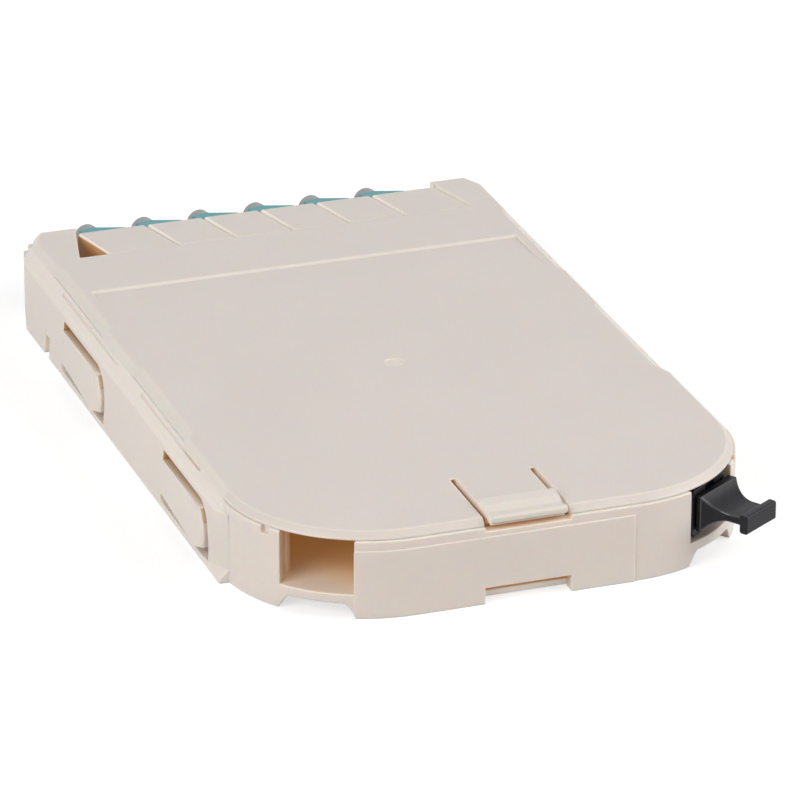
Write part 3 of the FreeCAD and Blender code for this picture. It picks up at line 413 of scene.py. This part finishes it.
# %% [markdown]
# ## Copies of the CAD pieces
#
# The CAD meshes are loose triangles, so a copy is merged and its flat faces are
# joined before anything else. To find the inner faces, rays go out from the
# middle of each face, and the share of them that gets away says how open the
# face is. Tray and cover shade each other, so both are in the ray tree.

# %% Open copies and open faces
RAYS = 96
GOLDEN_ANGLE = math.pi * (3 - math.sqrt(5))
RAY_LIFT = 0.02 * MM            # start of a ray above its face
GRAZING = 0.05


def open_copy(node):
    """Bmesh of a CAD node with merged corners and joined flat faces."""
    mesh = bmesh.new()
    mesh.from_mesh(frame["nodes"][node].data)
    bmesh.ops.remove_doubles(mesh, verts=mesh.verts, dist=0.002 * MM)
    bmesh.ops.dissolve_limit(
        mesh, angle_limit=math.radians(0.1), verts=mesh.verts, edges=mesh.edges
    )
    return mesh


shell = bmesh.new()
for node in ("base_tray", "top_cover"):
    shell.from_mesh(frame["nodes"][node].data)
shell_tree = BVHTree.FromBMesh(shell)
print("ray tree of", len(shell.faces), "triangles")
shell.free()


def ray_fan():
    """Directions spread evenly over a sphere."""
    for index in range(RAYS):
        height = 1 - (2 * index + 1) / RAYS
        reach = math.sqrt(1 - height * height)
        turn = GOLDEN_ANGLE * index
        yield Vector((reach * math.cos(turn), reach * math.sin(turn), height))


def point_on(face):
    """Point on a face: the middle of the largest of its triangles."""
    corners = [v.co for v in face.verts]
    triangles = [[corners[i] for i in three] for three in tessellate_polygon([corners])]
    largest = max(triangles, key=lambda three: area_tri(*three))
    return sum(largest, Vector()) / 3


def open_share(face):
    """Share of the rays from a face that leave the shell."""
    start = point_on(face) + face.normal * RAY_LIFT
    rays = [ray for ray in ray_fan() if ray.dot(face.normal) > GRAZING]
    free = [ray for ray in rays if shell_tree.ray_cast(start, ray)[0] is None]
    return len(free) / len(rays)


# %% [markdown]
# Each face of the two ivory mouldings then gets one of five finishes: the plain
# one, or one with painted light or shade. Closed-in faces get a warm painted
# shade, the slits in the side walls a brown painted shade, and the floor under
# the filled port stays plain, because light falls on it from outside.

# %% Faces with painted shade
HIGHLIGHT_SLOT = 1                 # material slots, after the plain one
SHADE_SLOT = 2
SLIT_SHADE_SLOT = 3
GLOW_SLOT = 4
OPEN_ENOUGH = 0.5
LATCH_ROOM = 12 * MM            # half width of the latch with its gap
LATCH_DEEP = 35 * MM            # from the rear wall forwards, as the next two
PORT_BACK = 25 * MM             # floor under the filled port
TONGUES_END = 30 * MM           # side walls with the slits of the tongues
PORT_X = -28 * MM
PORT_FLOOR = 7 * MM
WALL_ROOM = 5.5 * MM
SLIT_LOW = 8 * MM               # below this the tongues hide their slits
tray_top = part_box("base_tray")[1][2]
cover_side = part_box("top_cover")[1][0]
wall_side = cover_side + 1.4 * MM


def paint_shade_inside(mesh, low):
    """Paint shade on closed-in faces below a height or beside the latch."""
    count = 0
    for face in mesh.faces:
        middle = face.calc_center_median()
        latch = abs(middle.x) < LATCH_ROOM and middle.y > rear_y - LATCH_DEEP
        if not (middle.z < low or latch) or open_share(face) >= OPEN_ENOUGH:
            continue
        port = middle.x < PORT_X and middle.y > rear_y - PORT_BACK
        if port and middle.z < PORT_FLOOR:
            continue
        wall = abs(middle.x) > wall_side - WALL_ROOM and middle.y < rear_y - TONGUES_END
        if wall and middle.z < SLIT_LOW:
            continue
        # painted shade: brown in the slits of the tongues, warm orange elsewhere
        face.material_index = SLIT_SHADE_SLOT if wall else SHADE_SLOT
        count += 1
    print(count, "inner faces")


# %% [markdown]
# ## Rounding what the CAD left sharp
#
# No moulded edge is perfectly sharp, and the thin highlight along an edge is
# what makes a render look real. A Bevel modifier rounds the sharp edges. Each
# edge carries a weight, because a narrow ledge has less room for a round than a
# wide face.

# %% Room beside an edge
ROUND_SHARE = 0.4               # of the room beside an edge
SOFT_SHARE = 0.48               # for the wide soft rounds
STEEP = 0.35                    # sine of the turn that counts as a corner


def reach_to(point, edge):
    """Distance from a point to an edge."""
    start, end = (v.co for v in edge.verts)
    share = intersect_point_line(point, start, end)[1]
    return (point - start.lerp(end, min(1.0, max(0.0, share)))).length


def room_beside(edge):
    """Free width on the two faces of an edge."""
    room = 1.0
    along = (edge.verts[1].co - edge.verts[0].co).normalized()
    for other in {e for face in edge.link_faces for e in face.edges if e is not edge}:
        shared = set(other.verts) & set(edge.verts)
        if shared:
            corner = shared.pop()
            side = other.other_vert(corner).co - corner.co
            across = side.cross(along).length
            if across > STEEP * side.length:
                room = min(room, across)
        else:
            room = min(room, *(reach_to(v.co, other) for v in edge.verts))
            room = min(room, *(reach_to(v.co, edge) for v in other.verts))
    return room


def weigh_edges(mesh, width, turn, wide=None):
    """Bevel weight of each edge that turns enough; wide holds edges with their own width."""
    weight = mesh.edges.layers.float.new("bevel_weight_edge")
    wide = wide or {}
    most = max(width, *wide.values()) if wide else width
    for edge in mesh.edges:
        if edge in wide:
            edge[weight] = wide[edge] / most
        elif edge.is_manifold and edge.calc_face_angle() > math.radians(turn):
            edge[weight] = min(width, ROUND_SHARE * room_beside(edge)) / most
    return most


# %% [markdown]
# At a few crowded corners even a thin round folds over. The next helper looks
# for such folds in the finished mesh and halves the weights around them, so the
# rounds fade out there instead. Folds on slivers too small to see don't count.

# %% Folds
FOLD = math.radians(125)
SLIVER = 0.004 * MM * MM
FOLD_REACHES = [reach * MM for reach in (0.4, 0.4, 0.4, 0.8, 0.8, 1.3, 1.3, 1.8, 1.8)]
THINNEST = 0.06                 # a smaller weight is set to none


def folds_of(piece):
    """Points where the finished mesh folds over."""
    graph = bpy.context.evaluated_depsgraph_get()
    seen = piece.evaluated_get(graph)
    mesh = bmesh.new()
    mesh.from_mesh(seen.to_mesh())
    points = []
    for edge in mesh.edges:
        if not edge.is_manifold or min(face.calc_area() for face in edge.link_faces) < SLIVER:
            continue
        if edge.calc_face_angle() > FOLD:
            points.append((edge.verts[0].co + edge.verts[1].co) / 2)
    mesh.free()
    seen.to_mesh_clear()
    return points


def thin_folds(piece):
    """Halve the bevel weights beside folds."""
    data = piece.data
    weights = data.attributes["bevel_weight_edge"].data
    for reach in FOLD_REACHES:
        folds = folds_of(piece)
        if not folds:
            break
        for edge in data.edges:
            ends = [data.vertices[i].co for i in edge.vertices]
            for point in folds:
                share = min(1.0, max(0.0, intersect_point_line(point, *ends)[1]))
                if (point - ends[0].lerp(ends[1], share)).length < reach:
                    thin = weights[edge.index].value * 0.5
                    weights[edge.index].value = thin if thin > THINNEST else 0.0
                    break
        data.update()
    return len(folds_of(piece))


# %% Finished pieces
def finish_piece(mesh, name, node, body, width, segments=2, smooth=35, highlight_slot=-1):
    """Rounded object from a bmesh that stands for a CAD node on a body."""
    data = bpy.data.meshes.new(name)
    mesh.to_mesh(data)
    mesh.free()
    data.shade_smooth()
    data.set_sharp_from_angle(angle=math.radians(smooth))
    slot = slot_of[node]
    data.materials.append(finishes[slot])
    piece = bpy.data.objects.new(name, data)
    bpy.context.collection.objects.link(piece)
    bevel = piece.modifiers.new("rounds", "BEVEL")
    bevel.limit_method = "WEIGHT"
    bevel.width = width
    bevel.segments = segments
    bevel.use_clamp_overlap = False
    # The rounds may take the slot of the painted highlight. After the plain finish come, where
    # the resin has them, the slots of painted highlight, painted shade, painted shade of the
    # slits and painted glow.
    bevel.material = highlight_slot
    if slot in edge_highlights:
        data.materials.append(edge_highlights[slot])
    if slot in painted_shade_finishes:
        data.materials.append(painted_shade_finishes[slot])
        data.materials.append(slit_painted_shade)
        data.materials.append(slit_glow)
    left = thin_folds(piece)
    normals = piece.modifiers.new("flat faces", "WEIGHTED_NORMAL")
    normals.keep_sharp = True
    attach(piece, body)
    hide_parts(node)
    print(name, "has", len(data.polygons), "faces before rounding,", left, "folds left")


# %% [markdown]
# ## Base tray
#
# The tray is one moulding: drafted side walls with spring tongues, a raised
# floor, two trunk ports and the notches of the latch. Along its side walls the
# photograph shows a soft shoulder with shallow grooves. The CAD has them deeper
# and sharper, so a few rows of points are moved, which keeps the mesh as it is.

# %% Shoulder of the tray
NEAR = 0.02 * MM                # two heights within this are the same
SHOULDER_H = 3.4 * MM           # soft shoulder below the top of the tray
SHOULDER_IN = 2.2 * MM          # from the widest side of the cover inwards
GROOVE_D = 1.5 * MM
GROOVE_RAISE = 0.65 * MM
GROOVE_FROM = -0.6 * MM         # groove floor, from the side of the cover
GROOVE_TO = 0.1 * MM
STEP_D = 1.9 * MM               # small step between shoulder and wall
STEP_SIDE = 0.6 * MM
STEP_OUT = 0.1 * MM
STEP_UP = 0.12 * MM
WALL_END = 25.5 * MM            # side walls end before the rear wall
END_FROM = 0.5 * MM
END_TO = 0.8 * MM
END_SIDE = 0.33 * MM


def on_shoulder(point):
    """True on the soft shoulder along the side walls."""
    return point.z > tray_top - SHOULDER_H and abs(point.x) > cover_side - SHOULDER_IN


def runs_along(edge):
    """True for a long edge in the direction of the side walls."""
    side = edge.verts[1].co - edge.verts[0].co
    return side.length > 5 * MM and abs(side.y) > 0.95 * side.length


def soften_shoulder(mesh):
    """Make the grooves shallow and draw the small step out into a slope."""
    count = 0
    for vert in mesh.verts:
        side = abs(vert.co.x) - cover_side
        out = math.copysign(1.0, vert.co.x)
        if abs(vert.co.z - tray_top + GROOVE_D) < NEAR and GROOVE_FROM < side < GROOVE_TO:
            vert.co.z += GROOVE_RAISE
            count += 1
        elif abs(vert.co.z - tray_top + STEP_D) < NEAR and abs(side - STEP_SIDE) < NEAR:
            vert.co += Vector((out * STEP_OUT, 0.0, STEP_UP))
            count += 1
        if abs(vert.co.y - rear_y + WALL_END) < 0.05 * MM and END_FROM < side < END_TO:
            vert.co.x = out * (cover_side + END_SIDE)
            count += 1
    mesh.normal_update()
    print(count, "points of the shoulder moved")


# %% [markdown]
# Behind the lower notch a catch bar shows, with a dark gap above it, so the top
# of the bar is let down a little. The floor is one large face in the CAD. It is
# cut apart round the filled port with bisect_plane, so that this patch can stay
# free of the painted shade and keep the plain finish.

# %% Catch bar and port floor
CATCH_TOP = 2.5 * MM            # height of the catch bar behind the lower notch
CATCH_DROP = 1.0 * MM
CATCH_HALF = 11 * MM
CATCH_DEEP = 7 * MM             # from the rear wall forwards, as the next two
CATCH_BACK = 3.2 * MM
CATCH_FRONT = 2.5 * MM


def open_catch(mesh):
    """Lower the top of the catch bar, so that the gap above it shows."""
    top = [
        v for v in mesh.verts
        if abs(v.co.x) < CATCH_HALF and rear_y - CATCH_DEEP < v.co.y < rear_y - CATCH_FRONT
        and abs(v.co.z - CATCH_TOP) < NEAR
    ]
    bmesh.ops.translate(mesh, verts=top, vec=(0.0, 0.0, -CATCH_DROP))
    mesh.normal_update()
    print(len(top), "points of the catch bar lowered")


def on_catch(face):
    """True on the outer face of the catch bar."""
    middle = face.calc_center_median()
    near = abs(middle.x) < CATCH_HALF and rear_y - CATCH_BACK < middle.y < rear_y - CATCH_FRONT
    return near and face.normal.y > 0.9 and middle.z < CATCH_TOP


def cut_floor(mesh):
    """Cut the floor apart round the filled port, to keep it free of the painted shade."""
    for point, normal in (
        (Vector((PORT_X, 0.0, 0.0)), Vector((1.0, 0.0, 0.0))),
        (Vector((0.0, rear_y - PORT_BACK, 0.0)), Vector((0.0, 1.0, 0.0))),
    ):
        floors = [
            face for face in mesh.faces
            if face.normal.z > 0.9 and face.calc_center_median().z < PORT_FLOOR
        ]
        edges = {edge for face in floors for edge in face.edges}
        verts = {vert for face in floors for vert in face.verts}
        bmesh.ops.bisect_plane(
            mesh, geom=[*floors, *edges, *verts], plane_co=point, plane_no=normal, dist=0.001 * MM
        )
    print("floor cut apart round the filled port")


# %% [markdown]
# The edges of the tray are rounded by a quarter of a millimetre, and the long
# edges of its shoulder by more, where there is room. The shoulder gets the
# painted highlight of the edges, which lightens its shade, and the catch bar
# the painted glow of the lit slits, which lightens it in the shade of the wall.

# %% Base tray
MOULD_ROUND = 0.25 * MM
SHOULDER_ROUND = 0.7 * MM
SHOULDER_ROOM = 2.0 * MM        # channels of the shoulder, not counted as inside
SHOULDER_TURN = 6               # least turn of a rounded edge, in degrees
TRAY_TURN = 25
tray = open_copy("base_tray")
cut_floor(tray)
soften_shoulder(tray)
open_catch(tray)
paint_shade_inside(tray, tray_top - SHOULDER_ROOM)
# painted highlight on the shoulder, painted glow on the catch bar
for face in tray.faces:
    if face.normal.z > 0.2 and on_shoulder(face.calc_center_median()):
        face.material_index = HIGHLIGHT_SLOT
    if on_catch(face):
        face.material_index = GLOW_SLOT
soft_edges = {
    edge: min(SHOULDER_ROUND, SOFT_SHARE * room_beside(edge)) for edge in tray.edges
    if runs_along(edge) and all(on_shoulder(v.co) for v in edge.verts)
    and edge.is_manifold and edge.calc_face_angle() > math.radians(SHOULDER_TURN)
}
width = weigh_edges(tray, MOULD_ROUND, TRAY_TURN, soft_edges)
finish_piece(tray, "tray_moulding", "base_tray", "module", width, 3)

# %% [markdown]
# ## Top cover
#
# The cover is a thin plate with a bevelled rim, a latch with a thumb pad, and
# the fingers over the couplers. Its faces are told apart by where they lie and
# where they look: the rim and the round mark where the resin entered the mould
# get a paler painted highlight, the pad the same paler colour, and the slit walls
# that look to the key lamp get a painted glow.

# %% Faces and edges of the cover
PAD_REACH = 8.5 * MM            # thumb pad, from the rear wall's outer face
PAD_HALF = 8.2 * MM
GATE_BACK = 77.6 * MM           # gate mark to the rear wall
GATE_R = 2.1 * MM
FINGERS_L = 30 * MM             # fingers, from the front of the cover
FINGERS_IN = 11 * MM            # and from the side walls
PLATE_LOW = 1.2 * MM            # least height of a slit's upper edge
SLIT_L = 8 * MM
SLITS_FROM = -31 * MM           # slits of the fingers, along x
SLITS_TO = 36 * MM
WALLS_FROM = -45 * MM           # with the slit beside the end plate
SLANT_LEAST = 0.15              # slope of the slits across the cover
SLANT_MOST = 0.35
LATCH_HALF = 9 * MM
LATCH_L = 21 * MM
cover_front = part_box("top_cover")[0][1]


def on_pad(middle):
    """True where the thumb pad lies."""
    return abs(middle.x) < PAD_HALF and middle.y > rear_y - PAD_REACH


def on_rim(face):
    """True on the bevelled rim of the plate and its upright edge."""
    middle = face.calc_center_median()
    if on_pad(middle):
        return False
    fingers = middle.y < cover_front + FINGERS_L and abs(middle.x) < wall_side - FINGERS_IN
    return -0.1 < face.normal.z < 0.92 and middle.z > tray_top and not fingers


def pale_spot(face):
    """True on the thumb pad and on the gate mark."""
    middle = face.calc_center_median()
    gate = (middle - Vector((0.0, rear_y - GATE_BACK, middle.z))).length < GATE_R
    return (on_pad(middle) or gate) and middle.z > tray_top and face.normal.z > -0.3


def lit_slit_edge(edge):
    """True on the upper edge of a slanted slit that looks to the key light."""
    side = edge.verts[1].co - edge.verts[0].co
    ends = [v.co for v in edge.verts]
    if not edge.is_manifold or side.length < SLIT_L:
        return False
    if min(end.z for end in ends) < tray_top + PLATE_LOW:
        return False
    if min(end.x for end in ends) < SLITS_FROM:
        return False
    if max(end.y for end in ends) > cover_front + FINGERS_L:
        return False
    normals = [face.normal for face in edge.link_faces]
    slanted = SLANT_LEAST * abs(side.y) < abs(side.x) < SLANT_MOST * abs(side.y)
    return slanted and max(n.z for n in normals) > 0.9 and max(n.x for n in normals) > 0.7


def slanted_wall(face):
    """True on a wall of the fingers that looks to the key light."""
    near = face.calc_center_median().y < cover_front + FINGERS_L
    return near and face.normal.x > 0.9 and SLANT_LEAST < face.normal.y < SLANT_MOST


def lit_slit_wall(face):
    """True on the wall of a slit that looks to the key light."""
    middle = face.calc_center_median()
    finger = slanted_wall(face) and WALLS_FROM < middle.x < SLITS_TO
    latch = abs(middle.x) < LATCH_HALF and middle.y > rear_y - LATCH_L and middle.z > tray_top
    return finger or (latch and face.normal.x > 0.9)


# %% [markdown]
# Where the fingers bend, a fine crease crosses the cover. The CAD has the change
# of slope there, so its edges are split into a narrow strip by a bevel, and the
# middle of the strip is pressed down a little.

# %% Crease at the root of the fingers
FINGER_ROOT = 16.4 * MM         # from the front of the cover
CREASE_W = 0.28 * MM
CREASE_D = 0.24 * MM
CREASE_LEAST = math.radians(0.2)    # turn of the slope at the root
CREASE_MOST = math.radians(3)


def press_crease(mesh):
    """Fine groove along the line where the fingers start to slope."""
    line_y = cover_front + FINGER_ROOT
    folds = [
        edge for edge in mesh.edges
        if edge.is_manifold and min(face.normal.z for face in edge.link_faces) > 0.99
        and CREASE_LEAST < edge.calc_face_angle() < CREASE_MOST
        and all(abs(v.co.y - line_y) < 0.05 * MM for v in edge.verts)
    ]
    made = bmesh.ops.bevel(
        mesh, geom=folds, offset=CREASE_W, segments=2, profile=0.5, affect="EDGES", material=-1
    )
    middle = [v for v in made["verts"] if abs(v.co.y - line_y) < CREASE_W / 4]
    bmesh.ops.translate(mesh, verts=middle, vec=(0.0, 0.0, -CREASE_D))
    print("crease:", len(folds), "edges,", len(middle), "points pressed")


# %% [markdown]
# The step of the sunk panel shows as a soft line, so its foot is drawn out into
# a ramp. Along the sides the foot of the rim is let down to the tray, so that no
# sharp dark line is left between the two mouldings.

# %% Soft step and rim foot
STEP_RAMP = 0.45 * MM
STEP_FROM = 25 * MM             # step of the sunk panel, from the front
STEP_TO = 45 * MM
STEP_LOW = 1.0 * MM             # and above the tray
RIM_FOOT = 0.4 * MM
RIM_LOWER = 0.3 * MM
RIM_IN = 2 * MM                 # from the side of the cover inwards
RIM_END = 45 * MM               # from the rear wall forwards
RECESS_END = 35 * MM
RECESS_H = 0.2 * MM
RECESS_FROM = -1.7 * MM         # recessed foot, from the side of the cover
RECESS_TO = -1.3 * MM
RIM_OUT = 0.55 * MM


def draw_out_step(mesh):
    """Draw the foot of the sunk panel's step out into a ramp."""
    steps = [
        face for face in mesh.faces
        if face.normal.y > 0.9 and face.calc_center_median().z > tray_top + STEP_LOW
        and cover_front + STEP_FROM < face.calc_center_median().y < cover_front + STEP_TO
    ]
    feet = set()
    for face in steps:
        lowest = min(v.co.z for v in face.verts)
        feet |= {v for v in face.verts if v.co.z < lowest + 0.05 * MM}
    bmesh.ops.translate(mesh, verts=list(feet), vec=(0.0, STEP_RAMP, 0.0))
    print(len(feet), "feet of the step moved")


def lower_rim(mesh):
    """Let the foot of the side rim down to the tray."""
    rim = [
        v for v in mesh.verts
        if abs(v.co.z - tray_top - RIM_FOOT) < NEAR and abs(v.co.x) > cover_side - RIM_IN
        and v.co.y < rear_y - RIM_END
    ]
    bmesh.ops.translate(mesh, verts=rim, vec=(0.0, 0.0, -RIM_LOWER))
    recessed = [
        v for v in mesh.verts
        if v.co.y < rear_y - RECESS_END and v.co.z < tray_top + RECESS_H
        and RECESS_FROM < abs(v.co.x) - cover_side < RECESS_TO
    ]
    for vert in recessed:
        vert.co.x += math.copysign(RIM_OUT, vert.co.x)
    print(len(rim + recessed), "points of the rim moved")


# %% [markdown]
# Two small forms are left. Beside the last finger a corner of the plate stands a
# little above the slope, and is let down to it. The thumb pad has a shallow
# hollow between its ridges, so the row of points there is pressed in.

# %% Finger corner and thumb pad
PATCH = Vector((-40.65 * MM, cover_front + 5.24 * MM, tray_top + 1.6 * MM))
PATCH_R = 0.1 * MM
PATCH_DROP = 0.15 * MM
HOLLOW_D = 0.3 * MM
HOLLOW_LOW = 2.1 * MM           # above the tray
HOLLOW_FROM = 2.75 * MM         # from the rear wall forwards
HOLLOW_TO = 0.9 * MM


def press_spots(mesh):
    """Lower the corner beside the last finger and the hollow of the pad."""
    high = [v for v in mesh.verts if (v.co - PATCH).length < PATCH_R]
    bmesh.ops.translate(mesh, verts=high, vec=(0.0, 0.0, -PATCH_DROP))
    hollow = [
        v for v in mesh.verts
        if abs(v.co.x) < PAD_HALF and v.co.z > tray_top + HOLLOW_LOW
        and rear_y - HOLLOW_FROM < v.co.y < rear_y - HOLLOW_TO
    ]
    bmesh.ops.translate(mesh, verts=hollow, vec=(0.0, 0.0, -HOLLOW_D))
    mesh.normal_update()
    bmesh.ops.remove_doubles(mesh, verts=mesh.verts, dist=0.005 * MM)
    print(len(high), "corner and", len(hollow), "points of the pad lowered")


# %% [markdown]
# The rim of the cover is one wide soft round in the photograph, and so is the
# lit edge of each finger. In the CAD the rim is a bevel and the slits are
# sharp, so these edges are rounded widely: the slits by a bevel operator before
# anything else, and the rim by its weights. The lower edge of the rim lies on
# the tray and stays sharp.

# %% Top cover
SLIT_ROUND = 0.5 * MM
RIM_ROUND = 0.75 * MM
# The painted highlight lies on the rim only along the sides.
REAR_RIM = 33 * MM              # the rim is paler only along the sides
COVER_LOW = 0.1 * MM            # above the tray, faces below it may be inner ones
COVER_TURN = 22                 # least turn of a rounded edge, in degrees
COVER_SMOOTH = 12


def foot_edge(edge):
    """True on the lower edge of the rim, which lies on the tray."""
    flat = all(abs(v.co.z - tray_top) < NEAR for v in edge.verts)
    start = edge.verts[0].co
    latch = abs(start.x) < LATCH_ROOM and start.y > rear_y - LATCH_DEEP
    return flat and not latch


cover = open_copy("top_cover")
slits = [edge for edge in cover.edges if lit_slit_edge(edge)]
made = bmesh.ops.bevel(
    cover, geom=slits, offset=SLIT_ROUND, segments=3, profile=0.5, affect="EDGES", material=-1
)
lit = set(made["faces"])
print(len(slits), "slit edges rounded")
press_crease(cover)
draw_out_step(cover)
lower_rim(cover)
press_spots(cover)
paint_shade_inside(cover, tray_top + COVER_LOW)
rim_faces = {face for face in cover.faces if on_rim(face)}
# Painted highlight on the side rim and gate mark, the same paler colour on the pad, painted glow
# on the lit slit walls, painted shade on the slanted walls beyond.
for face in cover.faces:
    side_rim = face in rim_faces and face.calc_center_median().y < rear_y - REAR_RIM
    if side_rim or pale_spot(face):
        face.material_index = HIGHLIGHT_SLOT
    if face in lit or lit_slit_wall(face):
        face.material_index = GLOW_SLOT
    elif slanted_wall(face) and face.calc_center_median().x > SLITS_TO:
        face.material_index = SHADE_SLOT
soft_edges = {
    edge: min(RIM_ROUND, SOFT_SHARE * room_beside(edge)) for edge in cover.edges
    if len(rim_faces & set(edge.link_faces)) == 1
}
for edge in cover.edges:
    if foot_edge(edge):
        soft_edges[edge] = 0.0
width = weigh_edges(cover, MOULD_ROUND, COVER_TURN, soft_edges)
# The rounds of the cover get the painted highlight.
finish_piece(
    cover, "cover_moulding", "top_cover", "module", width, 3, COVER_SMOOTH, HIGHLIGHT_SLOT
)

# %% [markdown]
# ## Couplers and caps
#
# Six duplex couplers stand on edge along the front, each with a grey cap. They
# repeat, so one loop dresses them all. The upper front edge of a coupler is a
# wide round in the photograph, and the other edges are rounded finely.

# %% Couplers and caps
LANES = 6
FRONT_ROUND = 1.2 * MM
COUPLER_ROUND = 0.15 * MM
CAP_ROUND = 0.12 * MM
SMALL_TURN = 30                 # least turn of a rounded edge, in degrees


def front_top(edge):
    """True on the upper front edge of a coupler."""
    normals = [face.normal for face in edge.link_faces]
    return max(n.z for n in normals) > 0.9 and min(n.y for n in normals) < -0.8


for lane in range(1, LANES + 1):
    coupler = open_copy("lc_adapter_%d" % lane)
    fronts = {edge: FRONT_ROUND for edge in coupler.edges if edge.is_manifold and front_top(edge)}
    width = weigh_edges(coupler, COUPLER_ROUND, SMALL_TURN, fronts)
    finish_piece(coupler, "coupler_%d" % lane, "lc_adapter_%d" % lane, "module", width)
    cap = open_copy("lc_dust_cap_%d" % lane)
    width = weigh_edges(cap, CAP_ROUND, SMALL_TURN)
    finish_piece(cap, "cap_%d" % lane, "lc_dust_cap_%d" % lane, "dust_cap_%d" % lane, width)

# %% [markdown]
# ## Trunk side
#
# The black coupler and its pull cap fill one rear port. Black plastic shows its
# shape mostly by the light on its edges, so the cap's rounds are wider and get
# the glossier edge finish, whose lighter black is a painted glint.

# %% Trunk coupler and pull cap
TRUNK_ROUND = 0.2 * MM
GRIP_ROUND = 0.3 * MM
GRIP_SMOOTH = 35
trunk = open_copy("mpo_adapter")
width = weigh_edges(trunk, TRUNK_ROUND, SMALL_TURN)
finish_piece(trunk, "trunk_coupler", "mpo_adapter", "module", width)
pull = open_copy("mpo_dust_cap")
width = weigh_edges(pull, GRIP_ROUND, SMALL_TURN)
# The rounds of the pull cap get the painted glint.
finish_piece(
    pull, "pull_cap_grip", "mpo_dust_cap", "pull_cap", width, 3, GRIP_SMOOTH, HIGHLIGHT_SLOT
)
